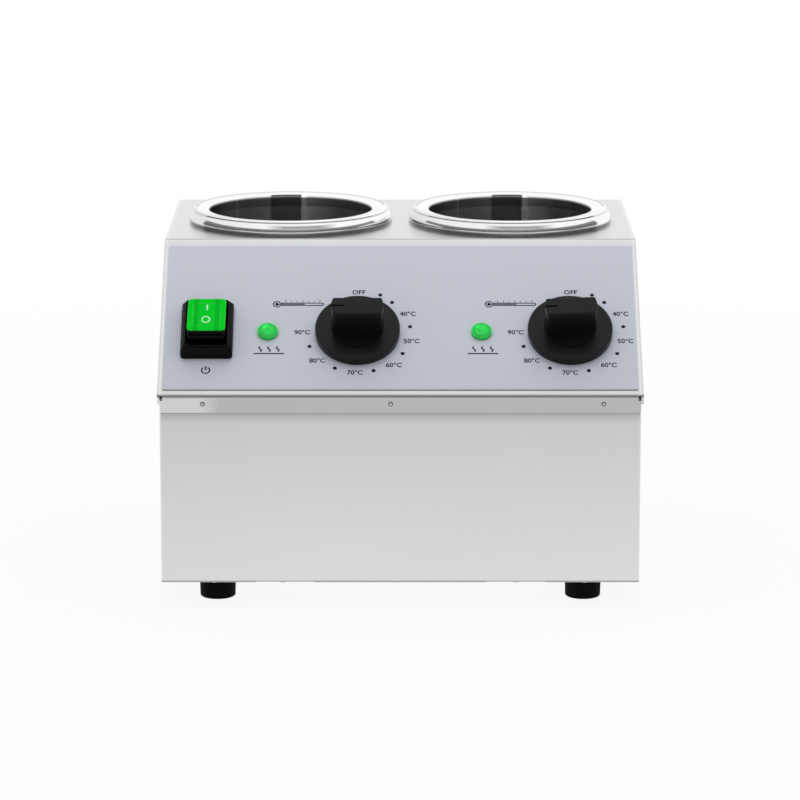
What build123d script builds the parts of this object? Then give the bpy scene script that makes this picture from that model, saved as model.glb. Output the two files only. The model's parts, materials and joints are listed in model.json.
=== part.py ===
from build123d import *
from math import atan2, cos, degrees, hypot, radians, sin
import os

# Two-well sauce bottle warmer. Millimetres, +Z up, front towards -Y.
# The origin is the middle of the footprint, on the surface that the feet stand on.

# Lower housing and base
body_width = 300.0
body_depth = 264.1
body_sheet = 1.2
body_height = 118.0
body_corner_radius = 1.6
ground_clearance = 16.5
flange_width = 12.0
notch_width = 37.0
notch_height = 0.7
sheet_gap = 0.3

# Hood, measured up from the housing's lower edge and back from its front wall
hood_sheet = 1.2
hood_overhang = 1.5
hood_bend_radius = 1.7
strip_bottom_height = 109.0
hood_side_height = 114.5
panel_foot_height = 120.2
top_height = 201.8
panel_setback = 102.6
relief_size = 1.8
relief_corner_radius = 0.6

# Control overlay on the sloping panel
overlay_thickness = 0.5
overlay_side_margin = 3.0
overlay_foot_margin = 4.0
overlay_top_margin = 6.7
overlay_corner_radius = 1.5

# Wells
well_pitch = 144.8
well_radius = 53.3
well_depth = 150.0
well_wall = 0.8
well_flange_width = 9.5
well_floor_radius = 6.0
flange_bend_radius = 0.8
well_setback = 172.8
gasket_thickness = 1.0
gasket_width = 7.0
ring_width = 13.4
ring_height = 10.1
ring_edge_height = 1.9
ring_mouth_height = 7.1
ring_mouth_radius = 1.8
ring_crest_offset = 9.2
ring_crease_offset = 11.1
ring_crease_drop = 1.7
ring_shoulder_bow = 0.4
ring_face_bow = 0.8
ring_sheet = 1.0
stud_radius = 2.0
stud_count = 3
stud_edge_inset = 3.8
stud_angle = 30.0
stud_reach = 10.0
nut_across_flats = 7.0
nut_height = 3.2

# Heaters and insulation round the wells
heater_thickness = 3.0
heater_height = 72.0
heater_lift = 12.0
heater_slit = 8.0
strap_thickness = 0.6
strap_width = 12.0
ear_length = 8.0
ear_gap = 5.0
clamp_screw_radius = 1.5
clamp_head_radius = 3.0
clamp_head_height = 1.5
jacket_thickness = 7.0
jacket_lift = 4.0
jacket_headroom = 22.0
jacket_slit = 16.0
limiter_radius = 8.0
limiter_height = 9.0
limiter_tab_offset = 4.0
bulb_radius = 3.0
bulb_length = 60.0
bulb_offset = 20.0
bulb_clip_sheet = 0.6
bulb_clip_width = 8.0
bulb_clip_foot = 6.0
capillary_radius = 0.8
capillary_lead = 14.0
capillary_bend = 6.0
capillary_exit_inset = 6.0

# Controls, as places across and up the panel
control_row = 51.0
knob_row = 50.4
left_dial_x = -26.9
right_dial_x = 106.8
left_pointer_angle = 270.0
right_pointer_angle = 267.0
left_lamp_x = -83.4
right_lamp_x = 51.1
switch_x = -121.5

# Dials
knob_gap = 0.5
skirt_radius = 26.65
skirt_thickness = 5.4
skirt_wall = 3.15
skirt_hollow_depth = 3.4
skirt_edge_radius = 1.5
boss_radius = 16.5
boss_height = 1.2
grip_height = 19.7
grip_thickness = 13.0
grip_bevel = 1.4
pointer_length = 8.4
pointer_width = 0.9
pointer_depth = 0.6
pointer_overrun = 1.0
hub_radius = 6.0
shaft_radius = 3.0
shaft_flat = 0.8
shaft_reach = 18.0
shaft_depth = 18.0
running_gap = 0.05
thermostat_width = 34.0
thermostat_height = 38.0
thermostat_depth = 28.0
thermostat_corner_radius = 3.6
thermostat_tab_offset = 6.3
bush_radius = 4.8
bush_gap = 0.3
thermostat_screw_spread = 14.0
thermostat_screw_radius = 1.9
thermostat_screw_depth = 7.0
thermostat_hole_depth = 9.3
screw_head_radius = 3.4
screw_head_height = 1.8
tab_width = 6.3
tab_thickness = 0.8
tab_length = 8.0

# Indicator lamps
lens_radius = 6.5
lens_height = 3.0
lens_edge_radius = 1.1
lamp_radius = 4.8
lamp_gap = 0.2
lamp_depth = 24.0
lamp_nut_thickness = 3.0
lamp_nut_across_flats = 14.0

# Power switch
frame_side_border = 2.55
frame_end_border = 2.8
frame_wall_height = 3.8
frame_bezel_height = 3.7
frame_bezel_taper = 27.0
frame_corner_radius = 2.0
rim_margin = 1.2
rim_height = 2.2
rocker_width = 24.0
rocker_length = 32.4
rocker_side_gap = 0.6
rocker_end_gap = 1.7
rocker_pivot_height = 6.0
rocker_face_height = 9.8
cap_thickness = 3.5
cap_edge_radius = 1.3
cap_top_radius = 0.65
cap_recess_width = 17.5
cap_recess_length = 23.0
cap_recess_depth = 0.5
carrier_inset = 0.5
carrier_draft = 0.3
carrier_foot = 10.0
carrier_depth = 3.0
rocker_tilt = 9.0
pin_radius = 1.5
pin_seat = 1.6
switch_body_margin = 0.9
cutout_gap = 0.3
switch_depth = 30.0

# Fasteners, feet and the lead's gland
rivet_places = (-123.0, -6.0, 126.5)
rivet_head_radius = 1.5
rivet_head_height = 0.7
rivet_head_taper = 34.0
rivet_shank_radius = 1.0
hole_gap = 0.05
base_screw_places = (-117.0, -74.0, -2.0, 73.0, 116.0)
base_screw_inset = 6.5
base_screw_head_radius = 2.6
base_screw_head_height = 1.4
base_screw_head_edge = 0.7
base_screw_radius = 1.4
base_screw_length = 6.0
foot_spread = 232.0
foot_inset = 31.0
foot_top_radius = 11.6
foot_bottom_radius = 11.2
foot_edge_radius = 1.5
foot_recess_radius = 5.0
foot_recess_depth = 8.0
foot_screw_radius = 2.0
foot_screw_head_radius = 4.0
foot_screw_head_height = 2.6
foot_screw_tip = 5.0
slot_count = 6
slot_length = 44.0
slot_width = 4.0
slot_pitch = 11.0
gland_x = 92.0
gland_height = 42.0
gland_thread_radius = 10.0
gland_flange_radius = 13.0
gland_flange_thickness = 5.0
gland_nut_radius = 12.5
gland_nut_length = 15.0
gland_nut_wall = 2.0
gland_dome_radius = 2.0
gland_cord_radius = 4.0
gland_seal_radius = 7.5
gland_seal_reach = 4.5
gland_inside_reach = 9.0
locknut_thickness = 5.0
block_length = 46.0
block_width = 20.0
block_height = 16.0
block_bore_radius = 2.0
block_corner_radius = 1.2
block_ways = 3
block_x = 40.0
block_setback = 236.0
earth_x = 0.0
earth_setback = 240.0
earth_stud_radius = 2.5
earth_stud_height = 16.0
earth_nut_across_flats = 8.0
earth_nut_height = 4.0
wire_radius = 1.1
wire_bend = 3.0
wire_lead = 16.0
wire_floor_gap = 0.55
wire_seat_depth = 5.0
wire_level_step = 2.6
wire_spread = 6.0
block_run = 128.0
heater_run_short = 40.0

# Levels and planes worked out from the sizes above
front_reach = hood_overhang + rivet_head_height
rear_reach = gland_flange_thickness + gland_nut_length
overall_depth = front_reach + body_depth + rear_reach
front_y = front_reach - overall_depth / 2
rear_y = front_y + body_depth
hood_front_y = front_y - hood_overhang
hood_rear_y = rear_y + hood_overhang
hood_width = body_width + 2 * hood_overhang
housing_z = ground_clearance
base_z = housing_z + body_sheet
base_top_z = base_z + body_sheet
strip_z = housing_z + strip_bottom_height
hood_side_z = housing_z + hood_side_height
panel_foot_z = housing_z + panel_foot_height
top_z = housing_z + top_height
fold_y = hood_front_y + panel_setback
panel_rise = top_z - panel_foot_z
panel_length = hypot(panel_setback, panel_rise)
panel_angle = degrees(atan2(panel_rise, panel_setback))
well_y = front_y + well_setback
rivet_z = (strip_z + panel_foot_z) / 2
# A quarter arc's middle stands this share of its radius off each side of its corner
arc_middle = 1 - sin(radians(45))

panel = Plane(
    origin=(0, hood_front_y, panel_foot_z),
    x_dir=(1, 0, 0),
    z_dir=(0, -sin(radians(panel_angle)), cos(radians(panel_angle))),
)
panel_axis = Axis(panel.origin, panel.z_dir)


def panel_point(x, row, height=0.0):
    """Point at x across the panel, row up its slope and height off its face."""
    return panel.from_local_coords(Vector(x, row, height))


def panel_plane(x, row, height=0.0, turn=0.0):
    """Plane that faces out of the panel, turned about its own normal."""
    across = Vector(1, 0, 0).rotate(Axis((0, 0, 0), panel.z_dir), turn)
    return Plane(origin=panel_point(x, row, height), x_dir=across, z_dir=panel.z_dir)


def radial_plane(x, y):
    """Upright plane through a vertical axis, with its local x as the radius."""
    return Plane(origin=(x, y, 0), x_dir=(1, 0, 0), z_dir=(0, -1, 0))


def upright_axis(x, y):
    """Vertical axis through a place on the footprint."""
    return Axis((x, y, 0), (0, 0, 1))


os.makedirs("parts", exist_ok=True)

dials = (
    ("left", left_dial_x, left_pointer_angle),
    ("right", right_dial_x, right_pointer_angle),
)
lamps = (("left", left_lamp_x), ("right", right_lamp_x))
left_well_x = -well_pitch / 2
right_well_x = well_pitch / 2
wells = (("left", left_well_x), ("right", right_well_x))
well_places = [(well_x, well_y) for side, well_x in wells]
dial_places = [(dial_x, knob_row) for side, dial_x, pointer in dials]
lamp_places = [(lamp_x, control_row) for side, lamp_x in lamps]
well_outer_radius = well_radius + well_wall
flange_radius = well_radius + well_flange_width
ring_outer_radius = well_radius + ring_width
stud_circle = flange_radius - stud_edge_inset
thermostat_screw_places = ((-thermostat_screw_spread, 0), (thermostat_screw_spread, 0))
rocker_opening_width = rocker_width + 2 * rocker_side_gap
rocker_opening_length = rocker_length + 2 * rocker_end_gap
frame_width = rocker_opening_width + 2 * (rim_margin + frame_side_border)
frame_length = rocker_opening_length + 2 * (rim_margin + frame_end_border)
switch_body_width = rocker_opening_width + 2 * switch_body_margin
switch_body_length = rocker_opening_length + 2 * switch_body_margin
front_hole_plane = Plane(origin=(0, hood_front_y, rivet_z), x_dir=(1, 0, 0), z_dir=(0, -1, 0))
rear_hole_plane = Plane(origin=(0, hood_rear_y, rivet_z), x_dir=(-1, 0, 0), z_dir=(0, 1, 0))
gland_plane = Plane(origin=(gland_x, rear_y, housing_z + gland_height), x_dir=(-1, 0, 0), z_dir=(0, 1, 0))
rivet_reach = hood_overhang + body_sheet
rivet_spots = [(place, 0) for place in rivet_places]
rear_rivet_spots = [(-place, 0) for place in rivet_places]
side_screw_x = body_width / 2 - base_screw_inset
front_screw_y = front_y + base_screw_inset
rear_screw_y = rear_y - base_screw_inset
base_screw_spots = [(place, row) for place in base_screw_places for row in (front_screw_y, rear_screw_y)]
base_screw_spots += [(edge, well_y) for edge in (-side_screw_x, side_screw_x)]
foot_front_y = front_y + foot_inset
foot_rear_y = rear_y - foot_inset
foot_spots = (
    ("front_left", -foot_spread / 2, foot_front_y),
    ("front_right", foot_spread / 2, foot_front_y),
    ("rear_left", -foot_spread / 2, foot_rear_y),
    ("rear_right", foot_spread / 2, foot_rear_y),
)

# Lower housing: four walls and an inward flange, with clearances for its fasteners
with BuildPart() as lower_housing:
    with BuildSketch(Plane.XY.offset(housing_z)):
        with Locations((0, (front_y + rear_y) / 2)):
            RectangleRounded(body_width, body_depth, body_corner_radius)
    extrude(amount=body_height)
    with BuildSketch(Plane.XY.offset(base_z)):
        with Locations((0, (front_y + rear_y) / 2)):
            Rectangle(body_width - 2 * body_sheet, body_depth - 2 * body_sheet)
    extrude(amount=body_height, mode=Mode.SUBTRACT)
    with BuildSketch(Plane.XY.offset(housing_z)):
        with Locations((0, (front_y + rear_y) / 2)):
            Rectangle(body_width - 2 * flange_width, body_depth - 2 * flange_width)
    extrude(amount=body_sheet, mode=Mode.SUBTRACT)
    with BuildSketch(Plane.XY.offset(housing_z)):
        with Locations(*base_screw_spots):
            Circle(base_screw_radius + hole_gap)
    extrude(amount=body_sheet, mode=Mode.SUBTRACT)
    with BuildSketch(front_hole_plane):
        with Locations(*rivet_spots):
            Circle(rivet_shank_radius + hole_gap)
    extrude(amount=-rivet_reach, mode=Mode.SUBTRACT)
    with BuildSketch(rear_hole_plane):
        with Locations(*rear_rivet_spots):
            Circle(rivet_shank_radius + hole_gap)
    extrude(amount=-rivet_reach, mode=Mode.SUBTRACT)
    with BuildSketch(gland_plane):
        Circle(gland_thread_radius + hole_gap)
    extrude(amount=-body_sheet, mode=Mode.SUBTRACT)
    with BuildSketch(Plane(origin=(0, front_y, housing_z), x_dir=(1, 0, 0), z_dir=(0, -1, 0))):
        with Locations(*[(well_x, notch_height / 2) for side, well_x in wells]):
            Rectangle(notch_width, notch_height)
    extrude(amount=-body_sheet, mode=Mode.SUBTRACT)
    # The four walls butt where the front and rear flanges end, so each is a solid of its own
    for seam_y in (front_y + flange_width, rear_y - flange_width):
        split(bisect_by=Plane(origin=(0, seam_y, 0), z_dir=(0, 1, 0)), keep=Keep.BOTH)
lower_housing.part.label = "lower_housing"
export_step(lower_housing.part, "parts/lower_housing.step")

# Base plate on the flange, with vent slots and the holes of its screws
base_width = body_width - 2 * (body_sheet + sheet_gap)
base_depth = body_depth - 2 * (body_sheet + sheet_gap)
with BuildPart() as base_plate:
    with BuildSketch(Plane.XY.offset(base_z)):
        with Locations((0, (front_y + rear_y) / 2)):
            Rectangle(base_width, base_depth)
        with Locations(*base_screw_spots):
            Circle(base_screw_radius + hole_gap, mode=Mode.SUBTRACT)
        with Locations(*[(foot_x, foot_y) for name, foot_x, foot_y in foot_spots]):
            Circle(foot_screw_radius + hole_gap, mode=Mode.SUBTRACT)
        with Locations(*well_places):
            with GridLocations(0, slot_pitch, 1, slot_count):
                SlotOverall(slot_length, slot_width, mode=Mode.SUBTRACT)
        with Locations((earth_x, front_y + earth_setback)):
            Circle(earth_stud_radius, mode=Mode.SUBTRACT)
    extrude(amount=body_sheet)
base_plate.part.label = "base_plate"
export_step(base_plate.part, "parts/base_plate.step")

# Hood: top, sloping panel, front strip, sides and back folded from one sheet
with BuildPart() as hood_shell:
    with BuildSketch(Plane.YZ):
        with BuildLine():
            Polyline(
                (hood_front_y, strip_z),
                (hood_front_y, panel_foot_z),
                (fold_y, top_z),
                (hood_rear_y, top_z),
                (hood_rear_y, strip_z),
                close=True,
            )
        make_face()
    extrude(amount=hood_width / 2, both=True)
    underside = hood_shell.faces().sort_by(Axis.Z)[0]
    fillet(hood_shell.edges() - underside.edges(), radius=hood_bend_radius)
    offset(amount=-hood_sheet, openings=hood_shell.faces().sort_by(Axis.Z)[0])
    with BuildSketch(Plane.XY.offset(strip_z)):
        with Locations((0, hood_rear_y)):
            Rectangle(
                hood_width,
                2 * (hood_rear_y - hood_front_y - hood_bend_radius),
            )
        with Locations((-hood_width / 2, hood_front_y), (hood_width / 2, hood_front_y)):
            Rectangle(2 * hood_bend_radius, 2 * hood_bend_radius)
    extrude(amount=hood_side_z - strip_z, mode=Mode.SUBTRACT)
    relief_x = hood_width / 2 - hood_bend_radius - relief_size / 2
    relief_origin = (0, hood_front_y, panel_foot_z - relief_size)
    with BuildSketch(Plane(origin=relief_origin, x_dir=(1, 0, 0), z_dir=(0, -1, 0))):
        with Locations((-relief_x, 0), (relief_x, 0)):
            RectangleRounded(relief_size, 2 * relief_size, relief_corner_radius)
    extrude(amount=-hood_sheet, mode=Mode.SUBTRACT)
    with BuildSketch(Plane.XY.offset(top_z)):
        for side, well_x in wells:
            with Locations((well_x, well_y)):
                Circle(well_outer_radius + sheet_gap)
                with PolarLocations(stud_circle, stud_count, start_angle=stud_angle):
                    Circle(stud_radius + hole_gap)
    extrude(amount=-hood_sheet, mode=Mode.SUBTRACT)
    with BuildSketch(panel):
        with Locations(*dial_places):
            Circle(bush_radius + bush_gap)
            with Locations(*thermostat_screw_places):
                Circle(thermostat_screw_radius + hole_gap)
        with Locations(*lamp_places):
            Circle(lamp_radius + lamp_gap)
        with Locations((switch_x, control_row)):
            Rectangle(switch_body_width + 2 * cutout_gap, switch_body_length + 2 * cutout_gap)
    extrude(amount=-hood_sheet, mode=Mode.SUBTRACT)
    with BuildSketch(front_hole_plane):
        with Locations(*rivet_spots):
            Circle(rivet_shank_radius + hole_gap)
    extrude(amount=-hood_sheet, mode=Mode.SUBTRACT)
    with BuildSketch(rear_hole_plane):
        with Locations(*rear_rivet_spots):
            Circle(rivet_shank_radius + hole_gap)
    extrude(amount=-hood_sheet, mode=Mode.SUBTRACT)
hood_shell.part.label = "hood_shell"
export_step(hood_shell.part, "parts/hood_shell.step")

# Printed overlay stuck to the panel
overlay_width = hood_width - 2 * overlay_side_margin
overlay_length = panel_length - overlay_foot_margin - overlay_top_margin
with BuildPart() as control_overlay:
    with BuildSketch(panel):
        with Locations((0, overlay_foot_margin + overlay_length / 2)):
            RectangleRounded(overlay_width, overlay_length, overlay_corner_radius)
        with Locations(*dial_places):
            Circle(bush_radius + bush_gap, mode=Mode.SUBTRACT)
            with Locations(*thermostat_screw_places):
                Circle(screw_head_radius + bush_gap, mode=Mode.SUBTRACT)
        with Locations(*lamp_places):
            Circle(lamp_radius + lamp_gap, mode=Mode.SUBTRACT)
        with Locations((switch_x, control_row)):
            Rectangle(
                switch_body_width + 2 * cutout_gap,
                switch_body_length + 2 * cutout_gap,
                mode=Mode.SUBTRACT,
            )
    extrude(amount=overlay_thickness)
control_overlay.part.label = "control_overlay"
export_step(control_overlay.part, "parts/control_overlay.step")

# Wells: drawn cup, gasket, polished ring, band heater, strap, insulation, limiter and sensing bulb
gasket_z = top_z
flange_z = gasket_z + gasket_thickness
flange_top_z = flange_z + well_wall
ring_top_z = top_z + ring_height
well_floor_z = top_z - well_depth
well_under_z = well_floor_z - well_wall
heater_z = well_floor_z + heater_lift
heater_inner = well_outer_radius + hole_gap
heater_outer = heater_inner + heater_thickness
strap_outer = heater_outer + strap_thickness
jacket_inner = strap_outer + sheet_gap
jacket_outer = jacket_inner + jacket_thickness
jacket_z = well_floor_z + jacket_lift
jacket_top_z = top_z - jacket_headroom
strap_z = heater_z + heater_height / 2
crest_radius = well_radius + ring_crest_offset
crease_radius = well_radius + ring_crease_offset
crease_z = ring_top_z - ring_crease_drop
mouth_z = top_z + ring_mouth_height
edge_z = top_z + ring_edge_height
ear_reach = strap_outer + ear_length
clamp_screw_y = well_y - (strap_outer + ear_reach) / 2
bulb_z = well_under_z - bulb_radius - hole_gap
limiter_z = well_under_z - limiter_height

for side, well_x in wells:
    axis = upright_axis(well_x, well_y)
    section = radial_plane(well_x, well_y)

    with BuildPart() as well_cup:
        with BuildSketch(section):
            with BuildLine():
                FilletPolyline(
                    (0, well_under_z),
                    (well_outer_radius, well_under_z),
                    (well_outer_radius, flange_z),
                    (flange_radius, flange_z),
                    radius=(well_floor_radius + well_wall, flange_bend_radius),
                )
                Line((flange_radius, flange_z), (flange_radius, flange_top_z))
                Line((flange_radius, flange_top_z), (well_radius, flange_top_z))
                FilletPolyline(
                    (well_radius, flange_top_z),
                    (well_radius, well_floor_z),
                    (0, well_floor_z),
                    radius=well_floor_radius,
                )
                Line((0, well_floor_z), (0, well_under_z))
            make_face()
        revolve(axis=axis)
        with BuildSketch(Plane.XY.offset(flange_z)):
            with Locations((well_x, well_y)):
                with PolarLocations(stud_circle, stud_count, start_angle=stud_angle):
                    Circle(stud_radius + hole_gap)
        extrude(amount=well_wall, mode=Mode.SUBTRACT)
    well_cup.part.label = f"{side}_well_cup"
    export_step(well_cup.part, f"parts/{side}_well_cup.step")

    with BuildPart() as well_gasket:
        with BuildSketch(Plane.XY.offset(gasket_z)):
            with Locations((well_x, well_y)):
                Circle(flange_radius)
                Circle(flange_radius - gasket_width, mode=Mode.SUBTRACT)
                with PolarLocations(stud_circle, stud_count, start_angle=stud_angle):
                    Circle(stud_radius + hole_gap, mode=Mode.SUBTRACT)
        extrude(amount=gasket_thickness)
    well_gasket.part.label = f"{side}_well_gasket"
    export_step(well_gasket.part, f"parts/{side}_well_gasket.step")

    # Pressed ring: rolled mouth, top that rises to a crest, shoulder, crease and steep face, hollow below
    ring_inside_radius = flange_radius + sheet_gap
    shoulder_radius = (crest_radius + crease_radius) / 2 + ring_shoulder_bow
    shoulder_z = (ring_top_z + crease_z) / 2 + ring_shoulder_bow
    face_radius = (crease_radius + ring_outer_radius) / 2 + ring_face_bow
    face_z = (crease_z + edge_z) / 2
    mouth_top_radius = well_radius + ring_mouth_radius
    mouth_top_z = mouth_z + ring_mouth_radius
    ring_roof_z = mouth_top_z - ring_sheet
    stud_top_z = ring_roof_z + ring_sheet / 2
    with BuildPart() as well_ring:
        with BuildSketch(section):
            with BuildLine():
                Polyline(
                    (well_radius + ring_sheet, flange_top_z),
                    (well_radius, flange_top_z),
                    (well_radius, mouth_z),
                )
                ThreePointArc(
                    (well_radius, mouth_z),
                    (
                        well_radius + ring_mouth_radius * arc_middle,
                        mouth_z + ring_mouth_radius * (1 - arc_middle),
                    ),
                    (mouth_top_radius, mouth_top_z),
                )
                Line((mouth_top_radius, mouth_top_z), (crest_radius, ring_top_z))
                ThreePointArc(
                    (crest_radius, ring_top_z),
                    (shoulder_radius, shoulder_z),
                    (crease_radius, crease_z),
                )
                ThreePointArc(
                    (crease_radius, crease_z),
                    (face_radius, face_z),
                    (ring_outer_radius, edge_z),
                )
                Polyline(
                    (ring_outer_radius, edge_z),
                    (ring_outer_radius, top_z),
                    (ring_inside_radius, top_z),
                    (ring_inside_radius, ring_roof_z - ring_sheet),
                    (ring_inside_radius - ring_sheet, ring_roof_z),
                    (mouth_top_radius, ring_roof_z),
                    (well_radius + ring_sheet, mouth_z),
                    (well_radius + ring_sheet, flange_top_z),
                )
            make_face()
        revolve(axis=axis)
        with BuildSketch(Plane.XY.offset(top_z - stud_reach)):
            with Locations((well_x, well_y)):
                with PolarLocations(stud_circle, stud_count, start_angle=stud_angle):
                    Circle(stud_radius)
        extrude(amount=stud_top_z - top_z + stud_reach)
    well_ring.part.label = f"{side}_well_ring"
    export_step(well_ring.part, f"parts/{side}_well_ring.step")

    with BuildPart() as band_heater:
        with BuildSketch(Plane.XY.offset(heater_z)):
            with Locations((well_x, well_y)):
                Circle(heater_outer)
                Circle(heater_inner, mode=Mode.SUBTRACT)
            with Locations((well_x, well_y - heater_outer)):
                Rectangle(heater_slit, 3 * heater_thickness, mode=Mode.SUBTRACT)
        extrude(amount=heater_height)
    band_heater.part.label = f"{side}_band_heater"
    export_step(band_heater.part, f"parts/{side}_band_heater.step")

    with BuildPart() as heater_strap:
        with BuildSketch(Plane.XY.offset(strap_z - strap_width / 2)):
            with Locations((well_x, well_y)):
                Circle(strap_outer)
                Circle(heater_outer + hole_gap, mode=Mode.SUBTRACT)
            with Locations((well_x, well_y - heater_outer)):
                Rectangle(ear_gap, 2 * ear_length, mode=Mode.SUBTRACT)
            with Locations(
                (well_x - (ear_gap + strap_thickness) / 2, well_y - (heater_outer + ear_reach) / 2),
                (well_x + (ear_gap + strap_thickness) / 2, well_y - (heater_outer + ear_reach) / 2),
            ):
                Rectangle(strap_thickness, ear_reach - heater_outer - strap_thickness / 2)
        extrude(amount=strap_width)
        with BuildSketch(Plane(origin=(well_x, clamp_screw_y, strap_z), z_dir=(1, 0, 0))):
            Circle(clamp_screw_radius + hole_gap)
        extrude(amount=ear_gap, both=True, mode=Mode.SUBTRACT)
    heater_strap.part.label = f"{side}_heater_strap"
    export_step(heater_strap.part, f"parts/{side}_heater_strap.step")

    with BuildPart() as insulation:
        with BuildSketch(Plane.XY.offset(jacket_z)):
            with Locations((well_x, well_y)):
                Circle(jacket_outer)
                Circle(jacket_inner, mode=Mode.SUBTRACT)
            with Locations((well_x, well_y - jacket_outer)):
                Rectangle(jacket_slit, 3 * jacket_thickness, mode=Mode.SUBTRACT)
        extrude(amount=jacket_top_z - jacket_z)
    insulation.part.label = f"{side}_insulation"
    export_step(insulation.part, f"parts/{side}_insulation.step")

    with BuildPart() as limiter:
        with BuildSketch(Plane.XY.offset(limiter_z)):
            with Locations((well_x, well_y)):
                Circle(limiter_radius)
        extrude(amount=limiter_height)
        with BuildSketch(Plane.XY.offset(limiter_z)):
            with Locations((well_x, well_y - limiter_tab_offset), (well_x, well_y + limiter_tab_offset)):
                Rectangle(tab_width, tab_thickness)
        extrude(amount=-tab_length)
    limiter.part.label = f"{side}_limiter"
    export_step(limiter.part, f"parts/{side}_limiter.step")

    bulb_x = well_x + bulb_offset
    with BuildPart() as sensing_bulb:
        with BuildSketch(Plane(origin=(bulb_x, well_y, bulb_z), z_dir=(0, -1, 0))):
            Circle(bulb_radius)
        extrude(amount=bulb_length / 2, both=True)
    sensing_bulb.part.label = f"{side}_sensing_bulb"
    export_step(sensing_bulb.part, f"parts/{side}_sensing_bulb.step")

    # Bent strap that holds the bulb under the cup's floor
    clip_inner = bulb_radius + hole_gap
    clip_outer = clip_inner + bulb_clip_sheet
    clip_depth = well_under_z - bulb_z
    with BuildPart() as bulb_clip:
        with BuildSketch(Plane(origin=(bulb_x, well_y, bulb_z), x_dir=(1, 0, 0), z_dir=(0, -1, 0))):
            Circle(clip_outer)
            with Locations((0, clip_depth / 2)):
                Rectangle(2 * clip_outer, clip_depth)
            with Locations((0, clip_depth - bulb_clip_sheet / 2)):
                Rectangle(2 * (clip_outer + bulb_clip_foot), bulb_clip_sheet)
            Circle(clip_inner, mode=Mode.SUBTRACT)
            with Locations((0, clip_depth)):
                Rectangle(2 * clip_inner, 2 * clip_depth, mode=Mode.SUBTRACT)
        extrude(amount=bulb_clip_width / 2, both=True)
    bulb_clip.part.label = f"{side}_bulb_clip"
    export_step(bulb_clip.part, f"parts/{side}_bulb_clip.step")

with BuildPart() as well_nuts:
    with BuildSketch(Plane.XY.offset(top_z - hood_sheet)):
        for side, well_x in wells:
            with Locations((well_x, well_y)):
                with PolarLocations(stud_circle, stud_count, start_angle=stud_angle):
                    RegularPolygon(nut_across_flats / 2, 6, major_radius=False)
                    Circle(stud_radius + hole_gap, mode=Mode.SUBTRACT)
    extrude(amount=-nut_height)
well_nuts.part.label = "well_nuts"
export_step(well_nuts.part, "parts/well_nuts.step")

with BuildPart() as strap_screws:
    for side, well_x in wells:
        screw_origin = (well_x, clamp_screw_y, strap_z)
        with BuildSketch(Plane(origin=screw_origin, z_dir=(1, 0, 0))):
            Circle(clamp_screw_radius)
        extrude(amount=ear_gap / 2 + 2 * strap_thickness, both=True)
        head_origin = (screw_origin[0] + ear_gap / 2 + strap_thickness, screw_origin[1], strap_z)
        with BuildSketch(Plane(origin=head_origin, z_dir=(1, 0, 0))):
            Circle(clamp_head_radius)
        extrude(amount=clamp_head_height)
        tail_origin = (screw_origin[0] - ear_gap / 2 - strap_thickness, screw_origin[1], strap_z)
        with BuildSketch(Plane(origin=tail_origin, z_dir=(-1, 0, 0))):
            Circle(clamp_head_radius)
        extrude(amount=clamp_head_height)
strap_screws.part.label = "strap_screws"
export_step(strap_screws.part, "parts/strap_screws.step")

# Dials: thermostat behind the panel, its shaft and the knob in front
knob_z = overlay_thickness + knob_gap
skirt_top = knob_z + skirt_thickness
boss_top = skirt_top + boss_height
grip_top = boss_top + grip_height
shaft_bore_radius = shaft_radius + hole_gap
thermostat_rear = hood_sheet + thermostat_depth

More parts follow.
